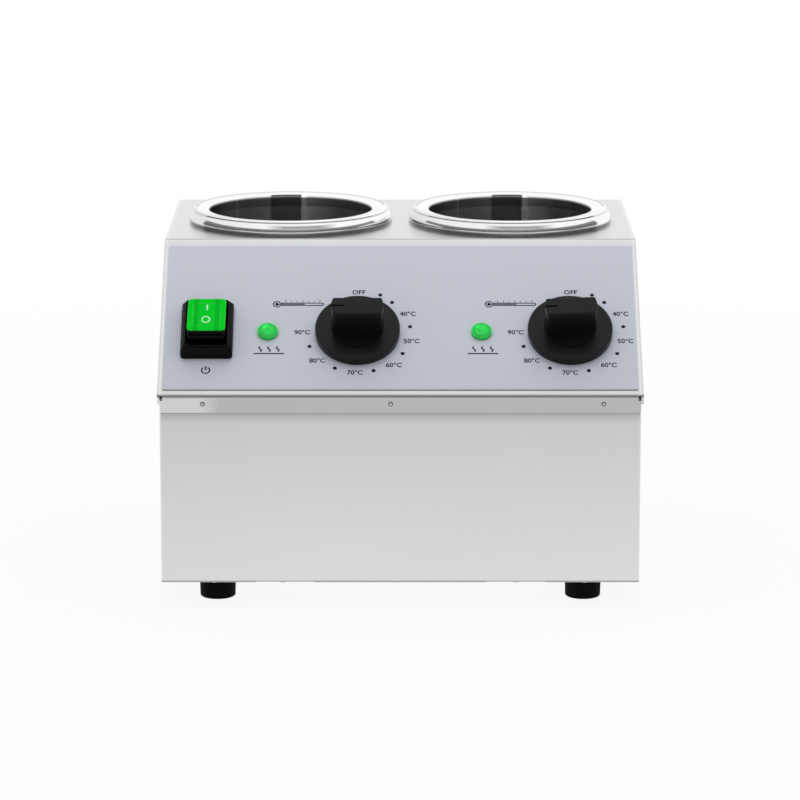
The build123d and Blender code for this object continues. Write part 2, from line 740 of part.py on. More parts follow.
for side, dial_x, pointer in dials:
    turn = 90.0 - pointer

    with BuildPart() as thermostat_body:
        with BuildSketch(panel_plane(dial_x, knob_row, -hood_sheet)):
            RectangleRounded(thermostat_width, thermostat_height, thermostat_corner_radius)
        extrude(amount=-thermostat_depth)
        with BuildSketch(panel_plane(dial_x, knob_row, -hood_sheet)):
            Circle(bush_radius)
        extrude(amount=hood_sheet + overlay_thickness)
        with BuildSketch(panel_plane(dial_x, knob_row, -thermostat_rear)):
            with Locations((-thermostat_tab_offset, 0), (thermostat_tab_offset, 0)):
                Rectangle(tab_thickness, tab_width)
        extrude(amount=-tab_length)
        with BuildSketch(panel_plane(dial_x, knob_row, overlay_thickness)):
            Circle(shaft_radius + running_gap)
        extrude(amount=-overlay_thickness - hood_sheet - shaft_depth - running_gap, mode=Mode.SUBTRACT)
        with BuildSketch(panel_plane(dial_x, knob_row, -hood_sheet)):
            with Locations(*thermostat_screw_places):
                Circle(thermostat_screw_radius + hole_gap)
        extrude(amount=-thermostat_hole_depth, mode=Mode.SUBTRACT)
    thermostat_body.part.label = f"{side}_thermostat"
    export_step(thermostat_body.part, f"parts/{side}_thermostat.step")

    with BuildPart() as thermostat_shaft:
        with BuildSketch(panel_plane(dial_x, knob_row, -hood_sheet - shaft_depth)):
            Circle(shaft_radius)
        extrude(amount=hood_sheet + shaft_depth + shaft_reach)
        with BuildSketch(panel_plane(dial_x, knob_row, shaft_reach, turn)):
            with Locations((0, shaft_radius)):
                Rectangle(2 * shaft_radius, 2 * shaft_flat)
        extrude(amount=-(shaft_reach - knob_z), mode=Mode.SUBTRACT)
    thermostat_shaft.part.label = f"{side}_dial_shaft"
    export_step(thermostat_shaft.part, f"parts/{side}_dial_shaft.step")

    with BuildPart() as dial_knob:
        with BuildSketch(panel_plane(dial_x, knob_row, knob_z, turn)):
            Circle(skirt_radius)
        extrude(amount=skirt_thickness)
        fillet(dial_knob.edges().group_by(panel_axis)[-1], radius=skirt_edge_radius)
        with BuildSketch(panel_plane(dial_x, knob_row, skirt_top, turn)):
            Circle(boss_radius)
        extrude(amount=boss_height)
        with BuildSketch(panel_plane(dial_x, knob_row, boss_top, turn)):
            Rectangle(2 * boss_radius, grip_thickness)
            Circle(boss_radius, mode=Mode.INTERSECT)
        extrude(amount=grip_height)
        chamfer(dial_knob.edges().group_by(panel_axis)[-1], length=grip_bevel)
        with BuildSketch(panel_plane(dial_x, knob_row, grip_top, turn)):
            with Locations((boss_radius + (pointer_overrun - pointer_length) / 2, 0)):
                Rectangle(pointer_length + pointer_overrun, pointer_width)
        extrude(amount=-pointer_depth, mode=Mode.SUBTRACT)
        with BuildSketch(panel_plane(dial_x, knob_row, knob_z, turn)):
            Circle(skirt_radius - skirt_wall)
            Circle(hub_radius, mode=Mode.SUBTRACT)
        extrude(amount=skirt_hollow_depth, mode=Mode.SUBTRACT)
        with BuildSketch(panel_plane(dial_x, knob_row, knob_z, turn)):
            Circle(shaft_bore_radius)
            with Locations((0, shaft_radius + hole_gap)):
                Rectangle(2 * shaft_bore_radius, 2 * shaft_flat, mode=Mode.SUBTRACT)
        extrude(amount=shaft_reach - knob_z + hole_gap, mode=Mode.SUBTRACT)
    dial_knob.part.label = f"{side}_dial_knob"
    export_step(dial_knob.part, f"parts/{side}_dial_knob.step")

with BuildPart() as thermostat_screws:
    for side, dial_x, pointer in dials:
        with BuildSketch(panel_plane(dial_x, knob_row)):
            with Locations(*thermostat_screw_places):
                Circle(screw_head_radius)
        extrude(amount=screw_head_height)
        with BuildSketch(panel_plane(dial_x, knob_row)):
            with Locations(*thermostat_screw_places):
                Circle(thermostat_screw_radius)
        extrude(amount=-hood_sheet - thermostat_screw_depth)
thermostat_screws.part.label = "thermostat_screws"
export_step(thermostat_screws.part, "parts/thermostat_screws.step")

# Indicator lamps: a lens in front, a body and its nut behind the panel
for side, lamp_x in lamps:
    with BuildPart() as lamp_lens:
        with BuildSketch(panel_plane(lamp_x, control_row, overlay_thickness)):
            Circle(lens_radius)
        extrude(amount=lens_height)
        fillet(lamp_lens.edges().group_by(panel_axis)[-1], radius=lens_edge_radius)
    lamp_lens.part.label = f"{side}_lamp_lens"
    export_step(lamp_lens.part, f"parts/{side}_lamp_lens.step")

    with BuildPart() as lamp_body:
        with BuildSketch(panel_plane(lamp_x, control_row, overlay_thickness)):
            Circle(lamp_radius)
        extrude(amount=-overlay_thickness - lamp_depth)
        with BuildSketch(panel_plane(lamp_x, control_row, -lamp_depth)):
            with Locations((-lamp_radius / 2, 0), (lamp_radius / 2, 0)):
                Rectangle(tab_thickness, lamp_radius)
        extrude(amount=-tab_length)
    lamp_body.part.label = f"{side}_lamp_body"
    export_step(lamp_body.part, f"parts/{side}_lamp_body.step")

with BuildPart() as lamp_nuts:
    for side, lamp_x in lamps:
        with BuildSketch(panel_plane(lamp_x, control_row, -hood_sheet)):
            RegularPolygon(lamp_nut_across_flats / 2, 6, major_radius=False)
            Circle(lamp_radius + hole_gap, mode=Mode.SUBTRACT)
        extrude(amount=-lamp_nut_thickness)
lamp_nuts.part.label = "lamp_nuts"
export_step(lamp_nuts.part, "parts/lamp_nuts.step")

# Power switch: bezel frame, body behind the panel, pin, and a rocker of carrier and lit cap
frame_wall_top = overlay_thickness + frame_wall_height
bezel_top = frame_wall_top + frame_bezel_height
rim_top = bezel_top + rim_height
pin_half_length = rocker_opening_width / 2 + pin_seat
with BuildPart() as switch_frame:
    with BuildSketch(panel_plane(switch_x, control_row, overlay_thickness)):
        RectangleRounded(frame_width, frame_length, frame_corner_radius)
    extrude(amount=frame_wall_height)
    with BuildSketch(panel_plane(switch_x, control_row, frame_wall_top)):
        RectangleRounded(frame_width, frame_length, frame_corner_radius)
    extrude(amount=frame_bezel_height, taper=frame_bezel_taper)
    with BuildSketch(panel_plane(switch_x, control_row, bezel_top)):
        RectangleRounded(
            rocker_opening_width + 2 * rim_margin,
            rocker_opening_length + 2 * rim_margin,
            frame_corner_radius,
        )
    extrude(amount=rim_height)
    with BuildSketch(panel_plane(switch_x, control_row, overlay_thickness)):
        Rectangle(rocker_opening_width, rocker_opening_length)
    extrude(amount=rim_top - overlay_thickness, mode=Mode.SUBTRACT)
    pivot = panel_point(switch_x, control_row, rocker_pivot_height)
    with BuildSketch(Plane(origin=pivot, z_dir=(1, 0, 0))):
        Circle(pin_radius + running_gap)
    extrude(amount=pin_half_length + running_gap, both=True, mode=Mode.SUBTRACT)
switch_frame.part.label = "switch_frame"
export_step(switch_frame.part, "parts/switch_frame.step")

with BuildPart() as switch_body:
    with BuildSketch(panel_plane(switch_x, control_row, overlay_thickness)):
        Rectangle(switch_body_width, switch_body_length)
    extrude(amount=-overlay_thickness - switch_depth)
    with BuildSketch(panel_plane(switch_x, control_row, -switch_depth)):
        with GridLocations(switch_body_width / 2, switch_body_length / 2, 2, 2):
            Rectangle(tab_width, tab_thickness)
    extrude(amount=-tab_length)
switch_body.part.label = "switch_body"
export_step(switch_body.part, "parts/switch_body.step")

# The rocker's plane lies along the panel at the pivot, tilted to the pressed position
rocker_base = Plane(
    origin=panel_point(switch_x, control_row, rocker_pivot_height),
    x_dir=(1, 0, 0),
    z_dir=panel.z_dir.rotate(Axis.X, -rocker_tilt),
)
rocker_axis = Axis(rocker_base.origin, rocker_base.z_dir)
rocker_side = Plane(origin=rocker_base.origin, x_dir=rocker_base.y_dir, z_dir=(1, 0, 0))
cap_bottom = rocker_face_height - cap_thickness
carrier_half = rocker_length / 2 - carrier_inset

with BuildPart() as rocker_carrier:
    with BuildSketch(rocker_side):
        with BuildLine():
            Polyline(
                (-carrier_half, cap_bottom),
                (-carrier_half + carrier_draft, carrier_depth),
                (-carrier_foot, -carrier_depth),
                (carrier_foot, -carrier_depth),
                (carrier_half - carrier_draft, carrier_depth),
                (carrier_half, cap_bottom),
                close=True,
            )
        make_face()
        Circle(pin_radius, mode=Mode.SUBTRACT)
    extrude(amount=rocker_width / 2 - carrier_inset, both=True)
rocker_carrier.part.label = "rocker_carrier"
export_step(rocker_carrier.part, "parts/rocker_carrier.step")

with BuildPart() as rocker_cap:
    with BuildSketch(rocker_base.offset(cap_bottom)):
        RectangleRounded(rocker_width, rocker_length, cap_edge_radius)
    extrude(amount=cap_thickness)
    fillet(rocker_cap.edges().group_by(rocker_axis)[-1], radius=cap_top_radius)
    with BuildSketch(rocker_base.offset(rocker_face_height)):
        RectangleRounded(cap_recess_width, cap_recess_length, cap_edge_radius)
    extrude(amount=-cap_recess_depth, mode=Mode.SUBTRACT)
rocker_cap.part.label = "rocker_cap"
export_step(rocker_cap.part, "parts/rocker_cap.step")

with BuildPart() as rocker_pin:
    with BuildSketch(rocker_side):
        Circle(pin_radius)
    extrude(amount=pin_half_length, both=True)
rocker_pin.part.label = "rocker_pin"
export_step(rocker_pin.part, "parts/rocker_pin.step")

# Blind rivets that join the hood to the housing
with BuildPart() as hood_rivets:
    for hole_plane, spots in ((front_hole_plane, rivet_spots), (rear_hole_plane, rear_rivet_spots)):
        with BuildSketch(hole_plane):
            with Locations(*spots):
                Circle(rivet_head_radius)
        extrude(amount=rivet_head_height, taper=rivet_head_taper)
        with BuildSketch(hole_plane):
            with Locations(*spots):
                Circle(rivet_shank_radius)
        extrude(amount=-rivet_reach - rivet_head_height)
hood_rivets.part.label = "hood_rivets"
export_step(hood_rivets.part, "parts/hood_rivets.step")

# Screws that hold the base plate to the flange
with BuildPart() as base_screws:
    with BuildSketch(Plane.XY.offset(housing_z)):
        with Locations(*base_screw_spots):
            Circle(base_screw_head_radius)
    extrude(amount=-base_screw_head_height)
    fillet(base_screws.edges().group_by(Axis.Z)[0], radius=base_screw_head_edge)
    with BuildSketch(Plane.XY.offset(housing_z)):
        with Locations(*base_screw_spots):
            Circle(base_screw_radius)
    extrude(amount=base_screw_length)
base_screws.part.label = "base_screws"
export_step(base_screws.part, "parts/base_screws.step")

# Rubber feet under the base plate, each on its own screw
for name, foot_x, foot_y in foot_spots:
    with BuildPart() as foot:
        with BuildSketch(radial_plane(foot_x, foot_y)):
            with BuildLine():
                Polyline(
                    (foot_screw_radius + hole_gap, base_z),
                    (foot_top_radius, base_z),
                    (foot_bottom_radius, foot_edge_radius),
                )
                ThreePointArc(
                    (foot_bottom_radius, foot_edge_radius),
                    (
                        foot_bottom_radius - foot_edge_radius * arc_middle,
                        foot_edge_radius * arc_middle,
                    ),
                    (foot_bottom_radius - foot_edge_radius, 0),
                )
                Polyline(
                    (foot_bottom_radius - foot_edge_radius, 0),
                    (foot_recess_radius, 0),
                    (foot_recess_radius, foot_recess_depth),
                    (foot_screw_radius + hole_gap, foot_recess_depth),
                    (foot_screw_radius + hole_gap, base_z),
                )
            make_face()
        revolve(axis=upright_axis(foot_x, foot_y))
    foot.part.label = f"{name}_foot"
    export_step(foot.part, f"parts/{name}_foot.step")

with BuildPart() as foot_screws:
    foot_centres = [(foot_x, foot_y) for name, foot_x, foot_y in foot_spots]
    with BuildSketch(Plane.XY.offset(foot_recess_depth)):
        with Locations(*foot_centres):
            Circle(foot_screw_head_radius)
    extrude(amount=-foot_screw_head_height)
    with BuildSketch(Plane.XY.offset(foot_recess_depth)):
        with Locations(*foot_centres):
            Circle(foot_screw_radius)
    extrude(amount=base_top_z + foot_screw_tip - foot_recess_depth)
foot_screws.part.label = "foot_screws"
export_step(foot_screws.part, "parts/foot_screws.step")

# Cable gland in the rear wall: body, seal, dome nut and locknut
seal_length = gland_nut_length - gland_nut_wall
with BuildPart() as gland_body:
    with BuildSketch(gland_plane):
        RegularPolygon(gland_flange_radius, 6, major_radius=False)
    extrude(amount=gland_flange_thickness)
    with BuildSketch(gland_plane):
        Circle(gland_thread_radius)
    extrude(amount=-gland_inside_reach)
    with BuildSketch(gland_plane.offset(-gland_inside_reach)):
        Circle(gland_seal_radius)
    extrude(amount=gland_inside_reach + gland_flange_thickness, mode=Mode.SUBTRACT)
gland_body.part.label = "gland_body"
export_step(gland_body.part, "parts/gland_body.step")

with BuildPart() as gland_seal:
    with BuildSketch(gland_plane.offset(-gland_seal_reach)):
        Circle(gland_seal_radius)
        Circle(gland_cord_radius, mode=Mode.SUBTRACT)
    extrude(amount=gland_seal_reach + gland_flange_thickness + seal_length)
gland_seal.part.label = "gland_seal"
export_step(gland_seal.part, "parts/gland_seal.step")

with BuildPart() as gland_nut:
    with BuildSketch(gland_plane.offset(gland_flange_thickness)):
        Circle(gland_nut_radius)
    extrude(amount=gland_nut_length)
    fillet(gland_nut.edges().group_by(Axis.Y)[-1], radius=gland_dome_radius)
    with BuildSketch(gland_plane.offset(gland_flange_thickness)):
        Circle(gland_seal_radius)
    extrude(amount=seal_length, mode=Mode.SUBTRACT)
    with BuildSketch(gland_plane.offset(gland_flange_thickness)):
        Circle(gland_cord_radius)
    extrude(amount=gland_nut_length, mode=Mode.SUBTRACT)
gland_nut.part.label = "gland_nut"
export_step(gland_nut.part, "parts/gland_nut.step")

with BuildPart() as gland_locknut:
    with BuildSketch(gland_plane.offset(-body_sheet)):
        RegularPolygon(gland_flange_radius, 6, major_radius=False)
        Circle(gland_thread_radius + hole_gap, mode=Mode.SUBTRACT)
    extrude(amount=-locknut_thickness)
gland_locknut.part.label = "gland_locknut"
export_step(gland_locknut.part, "parts/gland_locknut.step")

# Terminal block and earth stud on the base plate
block_y = front_y + block_setback
block_pitch = block_length / block_ways
block_middle_z = base_top_z + block_height / 2
with BuildPart() as terminal_block:
    with BuildSketch(Plane.XY.offset(base_top_z)):
        with Locations((block_x, block_y)):
            Rectangle(block_length, block_width)
    extrude(amount=block_height)
    fillet(terminal_block.edges().filter_by(Axis.Z), radius=block_corner_radius)
    with BuildSketch(Plane(origin=(block_x, block_y, block_middle_z), x_dir=(1, 0, 0), z_dir=(0, -1, 0))):
        with GridLocations(block_pitch, 0, block_ways, 1):
            Circle(block_bore_radius)
    extrude(amount=block_width, both=True, mode=Mode.SUBTRACT)
terminal_block.part.label = "terminal_block"
export_step(terminal_block.part, "parts/terminal_block.step")

earth_y = front_y + earth_setback
with BuildPart() as earth_stud:
    with BuildSketch(Plane.XY.offset(base_z)):
        with Locations((earth_x, earth_y)):
            Circle(earth_stud_radius)
    extrude(amount=body_sheet + earth_stud_height)
earth_stud.part.label = "earth_stud"
export_step(earth_stud.part, "parts/earth_stud.step")

with BuildPart() as earth_nuts:
    for level in (base_top_z, base_top_z + 2 * earth_nut_height):
        with BuildSketch(Plane.XY.offset(level)):
            with Locations((earth_x, earth_y)):
                RegularPolygon(earth_nut_across_flats / 2, 6, major_radius=False)
                Circle(earth_stud_radius + hole_gap, mode=Mode.SUBTRACT)
        extrude(amount=earth_nut_height)
earth_nuts.part.label = "earth_nuts"
export_step(earth_nuts.part, "parts/earth_nuts.step")

# Capillary tubes from each thermostat down and back to its sensing bulb
capillary_across = thermostat_width / 2 - capillary_exit_inset
capillary_down = thermostat_height / 2 - capillary_exit_inset
for (side, well_x), (dial_x, row) in zip(wells, dial_places):
    start = panel_point(dial_x - capillary_across, row - capillary_down, -thermostat_rear)
    bend = start - capillary_lead * panel.z_dir
    bulb_end = Vector(well_x + bulb_offset, well_y - bulb_length / 2, bulb_z)
    capillary_route = (
        start,
        bend,
        Vector(bend.X, bend.Y, bulb_z),
        bulb_end - Vector(0, capillary_lead, 0),
        bulb_end,
    )
    with BuildPart() as capillary:
        with BuildLine() as capillary_path:
            FilletPolyline(*capillary_route, radius=capillary_bend)
        with BuildSketch(Plane(origin=capillary_path.line @ 0, z_dir=capillary_path.line % 0)):
            Circle(capillary_radius)
        sweep(path=capillary_path.line)
    capillary.part.label = f"{side}_capillary"
    export_step(capillary.part, f"parts/{side}_capillary.step")

# Internal wires: each leaves a terminal, crosses the base at its own level and rises to the next
inward = -1 * panel.z_dir
down = Vector(0, 0, -1)
forward = Vector(0, -1, 0)


def switch_tab(across, along):
    """Tip of one of the switch's four tabs, picked by the signs of its place."""
    tab_x = switch_x + across * switch_body_width / 4
    tab_row = control_row + along * switch_body_length / 4
    return panel_point(tab_x, tab_row, -switch_depth - tab_length), inward, wire_lead


def thermostat_tab(dial_x, across):
    """Tip of a thermostat's left or right tab."""
    tab_x = dial_x + across * thermostat_tab_offset
    return panel_point(tab_x, knob_row, -thermostat_rear - tab_length), inward, wire_lead


def limiter_tab(well_x, along):
    """Tip of a limiter's front or rear tab, which points down."""
    return Vector(well_x, well_y + along * limiter_tab_offset, limiter_z - tab_length), down, 0


def heater_lead(well_x, across):
    """Start of a heater's lead at its lower edge, beside the slit."""
    offset_x = across * (heater_slit / 2 + 2 * wire_radius)
    middle_radius = (heater_inner + heater_outer) / 2
    lead_y = well_y - (middle_radius**2 - offset_x**2) ** 0.5
    return Vector(well_x + offset_x, lead_y, heater_z), down, 0


def block_bore(place, run):
    """Point inside one of the terminal block's bores, with a straight run forward."""
    bore_x = block_x + (place - (block_ways - 1) / 2) * block_pitch
    return Vector(bore_x, block_y - block_width / 2 + wire_seat_depth, block_middle_z), forward, run


def wire_points(first, last, level):
    """Corners of a wire's route, without those that would repeat the one before."""
    head = [first[0], first[0] + first[2] * first[1]]
    tail = [last[0] + last[2] * last[1], last[0]]
    crossing = [Vector(point.X, point.Y, level) for point in (head[-1], tail[0])]
    points = [*head, *crossing, *tail]
    return [points[0]] + [after for before, after in zip(points, points[1:]) if (after - before).length > 0]


lowest_level = base_top_z + wire_radius + wire_floor_gap
low_level = lowest_level + wire_level_step
high_level = block_middle_z + wire_level_step
wire_routes = (
    wire_points(switch_tab(-1, 1), thermostat_tab(right_dial_x, -1), lowest_level),
    wire_points(switch_tab(-1, -1), thermostat_tab(left_dial_x, -1), low_level),
    wire_points(thermostat_tab(left_dial_x, 1), limiter_tab(left_well_x, -1), high_level),
    wire_points(thermostat_tab(right_dial_x, 1), limiter_tab(right_well_x, -1), high_level),
    wire_points(limiter_tab(left_well_x, 1), heater_lead(left_well_x, -1), block_middle_z),
    wire_points(limiter_tab(right_well_x, 1), heater_lead(right_well_x, 1), block_middle_z),
    wire_points(block_bore(0, block_run), switch_tab(1, 1), block_middle_z),
    wire_points(block_bore(1, block_run + wire_spread), switch_tab(1, -1), block_middle_z),
    wire_points(block_bore(2, block_run - heater_run_short), heater_lead(right_well_x, -1), block_middle_z),
)

with BuildPart() as wiring:
    for route in wire_routes:
        with BuildLine() as wire_path:
            FilletPolyline(*route, radius=wire_bend)
        with BuildSketch(Plane(origin=wire_path.line @ 0, z_dir=wire_path.line % 0)):
            Circle(wire_radius)
        sweep(path=wire_path.line)
wiring.part.label = "wiring"
export_step(wiring.part, "parts/wiring.step")
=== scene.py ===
import json
import math

import bmesh
import bpy
import numpy as np
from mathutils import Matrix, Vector


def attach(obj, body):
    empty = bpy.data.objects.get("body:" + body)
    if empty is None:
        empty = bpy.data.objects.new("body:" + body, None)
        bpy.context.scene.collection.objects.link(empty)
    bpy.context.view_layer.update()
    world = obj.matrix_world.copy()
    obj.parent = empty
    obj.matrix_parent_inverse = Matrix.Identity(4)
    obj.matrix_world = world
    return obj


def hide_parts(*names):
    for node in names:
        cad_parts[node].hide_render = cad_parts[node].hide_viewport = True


# A countertop warmer with two round wells. Pieces are worked out in millimetres and stored in metres.

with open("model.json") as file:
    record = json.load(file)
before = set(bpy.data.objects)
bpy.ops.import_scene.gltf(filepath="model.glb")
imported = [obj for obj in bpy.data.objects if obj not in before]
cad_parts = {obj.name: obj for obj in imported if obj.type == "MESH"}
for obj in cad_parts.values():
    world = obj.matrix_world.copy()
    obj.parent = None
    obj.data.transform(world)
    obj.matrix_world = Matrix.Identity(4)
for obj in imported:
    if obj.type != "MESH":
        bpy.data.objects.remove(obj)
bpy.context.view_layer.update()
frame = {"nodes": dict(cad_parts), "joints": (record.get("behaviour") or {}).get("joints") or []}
nodes = frame["nodes"]
print("frame loaded:", len(nodes), "nodes")

millimetre = 0.001
dialRow, controlRow = 50.4, 51.0                       # distances up the panel
dialHinge = next(joint for joint in frame["joints"] if joint["name"] == "left_dial_turn")
panelOut = np.array(dialHinge["axis"], float)          # straight out of the sloping panel
panelUp = np.cross(panelOut, (1.0, 0.0, 0.0))          # up its slope
panelFoot = np.array(dialHinge["pos_m"], float) / millimetre * (0, 1, 1) - dialRow * panelUp


# Surfaces


def onPanel(points, x=0.0, row=0.0, turn=0.0, tilt=0.0, lift=0.0):
    # local across, along and out are turned in the panel's plane, tilted about its across axis,
    # then laid along the panel's own three directions from a place on it
    points = np.asarray(points, float)
    across, along, out = points[..., 0], points[..., 1], points[..., 2]
    turned = across * math.cos(turn) - along * math.sin(turn)
    along = across * math.sin(turn) + along * math.cos(turn)
    up = row + along * math.cos(tilt) + out * math.sin(tilt)
    height = lift - along * math.sin(tilt) + out * math.cos(tilt)
    placed = panelFoot + up[..., None] * panelUp + height[..., None] * panelOut
    placed[..., 0] += turned + x
    return placed


def roundCorners(corners, radii, steps=5, closed=False):
    # each corner becomes the circle arc that touches both of its sides, as a weighted quadratic curve
    corners = np.asarray(corners, float)
    radii = np.broadcast_to(radii, len(corners))
    parts = []
    for index, (corner, radius) in enumerate(zip(corners, radii)):
        if radius == 0 or (not closed and index in (0, len(corners) - 1)):
            parts.append(corner[None])
            continue
        back = corners[index - 1] - corner
        ahead = corners[(index + 1) % len(corners)] - corner
        back, ahead = back / np.linalg.norm(back), ahead / np.linalg.norm(ahead)
        half = math.acos(np.clip(back @ ahead, -1, 1)) / 2
        reach, weight = radius / math.tan(half), math.sin(half)
        t = np.linspace(0, 1, steps + 1)[:, None]
        arc = (1 - t) ** 2 * (corner + back * reach) + 2 * weight * t * (1 - t) * corner
        arc = arc + t**2 * (corner + ahead * reach)
        parts.append(arc / ((1 - t) ** 2 + 2 * weight * t * (1 - t) + t**2))
    return np.concatenate(parts)


def polar(radius, turn):
    # points at a distance and an angle
    return np.stack([radius * np.cos(turn), radius * np.sin(turn)], -1)


def arcThrough(first, middle, last, steps=8):
    # the circle through three points has its centre where two chords' midlines cross
    first, middle, last = (np.asarray(point, float) for point in (first, middle, last))
    rows = 2 * np.array([middle - first, last - first])
    centre = np.linalg.solve(rows, [middle @ middle - first @ first, last @ last - first @ first])
    spokes = np.array([first, middle, last]) - centre
    turn = np.unwrap(np.arctan2(spokes[:, 1], spokes[:, 0]))
    return centre + polar(np.linalg.norm(spokes[0]), np.linspace(turn[0], turn[2], steps + 1))


def revolve(profile, segments=160, centre=(0, 0, 0)):
    # radius and height of each profile point, carried round a vertical axis; the seam column is repeated
    turn = np.linspace(0, 2 * math.pi, segments + 1)
    radius, height = profile[:, 0, None], profile[:, 1, None]
    grid = np.stack([radius * np.cos(turn), radius * np.sin(turn), height + 0 * turn], -1)
    return grid + np.asarray(centre, float)


def loft(levels):
    # levels are pairs of a closed outline and a height; the outline's first point is repeated at the seam
    outlines = np.stack([np.concatenate([outline, outline[:1]]) for outline, height in levels])
    heights = np.array([height for outline, height in levels], float)[:, None, None]
    return np.concatenate([outlines, np.broadcast_to(heights, outlines.shape[:2] + (1,))], -1)


def rectangles(levels, steps=8, capped=True):
    # each level is a width, a length, a corner radius and a height; caps join both ends to their middle
    outlines = []
    for width, length, corner, height in levels:
        corners = np.array([(1, -1), (1, 1), (-1, 1), (-1, -1)]) * (width / 2, length / 2)
        outlines.append((roundCorners(corners, corner, steps, closed=True), height))
    grid = loft(outlines)
    return np.concatenate([grid[:1] * (0, 0, 1), grid, grid[-1:] * (0, 0, 1)]) if capped else grid


def gridMesh(grid):
    # a face joins the four corners of each cell, turned so that it looks out of a profile that runs
    # up the outside and down the inside; its map holds the mean reach up and the longest reach round
    rows, columns = grid.shape[:2]
    row, column = np.meshgrid(np.arange(rows - 1), np.arange(columns - 1), indexing="ij")
    first = (row * columns + column).ravel()
    faces = np.stack([first, first + 1, first + columns + 1, first + columns], -1)
    upward = np.linalg.norm(np.diff(grid, axis=0), axis=-1).mean(1)
    around = np.linalg.norm(np.diff(grid, axis=1), axis=-1).max(0)
    upward, around = (np.concatenate([[0], np.cumsum(steps)]) for steps in (upward, around))
    uv = np.stack(np.broadcast_arrays(around[None, :], upward[:, None]), -1)
    return grid.reshape(-1, 3), faces, uv.reshape(-1, 2)


def joined(meshes):
    # meshes laid one after the other, with their face numbers moved on
    starts = np.cumsum([0] + [len(mesh[0]) for mesh in meshes[:-1]])
    points = np.concatenate([mesh[0] for mesh in meshes])
    faces = np.concatenate([mesh[1] + start for mesh, start in zip(meshes, starts)])
    return points, faces, np.concatenate([mesh[2] for mesh in meshes])


def weldedMesh(name, meshes, mapped=True):
    # the meshes as one, in metres, with points that meet merged
    points, faces, uv = joined(meshes)
    mesh = bpy.data.meshes.new(name)
    mesh.from_pydata(points * millimetre, [], faces)
    if mapped:
        layer = mesh.uv_layers.new(name="surface")
        layer.data.foreach_set("uv", (uv[faces.ravel()] * millimetre).ravel())
    welded = bmesh.new()
    welded.from_mesh(mesh)
    bmesh.ops.remove_doubles(welded, verts=welded.verts, dist=1e-6)
    welded.to_mesh(mesh)
    welded.free()
    return mesh


def addObject(name, data):
    thing = bpy.data.objects.new(name, data)
    bpy.context.scene.collection.objects.link(thing)
    return thing


def settledMesh(thing):
    # its mesh once its modifiers or letters are worked out
    bpy.context.view_layer.update()
    return bpy.data.meshes.new_from_object(thing.evaluated_get(bpy.context.evaluated_depsgraph_get()))


def addPiece(name, meshes, material, body, replaced=None, sharp=35):
    mesh = weldedMesh(name, meshes)
    mesh.shade_smooth()
    mesh.set_sharp_from_angle(angle=math.radians(sharp))
    mesh.materials.append(material)
    piece = addObject(name, mesh)
    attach(piece, body)
    if replaced:
        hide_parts(replaced)
    return piece


def carve(piece, grid):
    # the closed shape is taken out of the piece
    cutter = addObject("cutter", weldedMesh("cutter", [gridMesh(grid)], mapped=False))
    cut = piece.modifiers.new("cut", "BOOLEAN")
    cut.object, cut.solver = cutter, "EXACT"
    done = settledMesh(piece)
    piece.modifiers.clear()
    piece.data = done
    piece.data.set_sharp_from_angle(angle=math.radians(35))
    bpy.data.objects.remove(cutter)


# Shared effects


def newGroup(name, inputs, outputs):
    group = bpy.data.node_groups.new(name, "ShaderNodeTree")
    for label, kind, value in inputs:
        socket = group.interface.new_socket(label, in_out="INPUT", socket_type=kind)
        if value is not None:
            socket.default_value = value
    for label in outputs:
        group.interface.new_socket(label, in_out="OUTPUT", socket_type="NodeSocketFloat")
    return group, group.nodes.new("NodeGroupInput"), group.nodes.new("NodeGroupOutput")


def addNode(kind, links=(), tree=None, **values):
    # links name a socket and what feeds it; a number in place of a socket is set on it. Without a tree the
    # node goes where its first feeding socket is
    links = [(socket, source, isinstance(source, bpy.types.NodeSocket)) for socket, source in links]
    tree = tree or next(source.id_data for socket, source, feeds in links if feeds)
    node = tree.nodes.new("ShaderNode" + kind)
    for label, value in values.items():
        setattr(node, label, value)
    for socket, source, feeds in links:
        if feeds:
            tree.links.new(source, node.inputs[socket])
        else:
            node.inputs[socket].default_value = source
    return node


def blend(operation, first, second=0.0, third=None, clamp=False):
    links = [(0, first), (1, second)] + ([(2, third)] if third is not None else [])
    return addNode("Math", links, operation=operation, use_clamp=clamp).outputs[0]


def times(*values):
    # all the values multiplied together
    product = values[0]
    for value in values[1:]:
        product = blend("MULTIPLY", product, value)
    return product


def within(value, share, base=1.0):
    # the base where the share is nought, the value where it is one
    return blend("MULTIPLY_ADD", blend("SUBTRACT", value, base), share, base)


def remap(value, low, high, first, last):
    # straight change from first to last while the value goes from low to high, level outside
    return addNode("MapRange", enumerate((value, low, high, first, last))).outputs[0]


def distant(value, middle=0.0):
    return blend("ABSOLUTE", blend("SUBTRACT", value, middle))


def nearTo(value, middle, half, fade, shade):
    # shade inside a band round the middle, one outside, with a short fade between
    return remap(distant(value, middle), half, half + fade, shade, 1.0)


def onVectors(operation, *values):
    node = addNode("VectorMath", enumerate(values), operation=operation)
    return node.outputs["Vector" if operation == "MULTIPLY" else "Value"]


def noise(vector, scale, detail, roughness=0.5, distortion=0.0):
    links = [("Vector", vector), ("Scale", scale), ("Detail", detail), ("Roughness", roughness)]
    return addNode("TexNoise", links + [("Distortion", distortion)]).outputs[0]


def apart(place):
    # the object's three coordinates
    return addNode("SeparateXYZ", [(0, place.outputs["Object"])]).outputs


def mixColour(factor, first, second, mode="MIX"):
    links = [(0, factor), (6, first), (7, second)]
    return addNode("Mix", links, data_type="RGBA", blend_type=mode).outputs[2]


def shaded(colour, tone):
    # the colour multiplied by a grey tone
    grey = addNode("CombineColor", enumerate((tone, tone, tone))).outputs[0]
    return mixColour(1.0, colour, grey, "MULTIPLY")


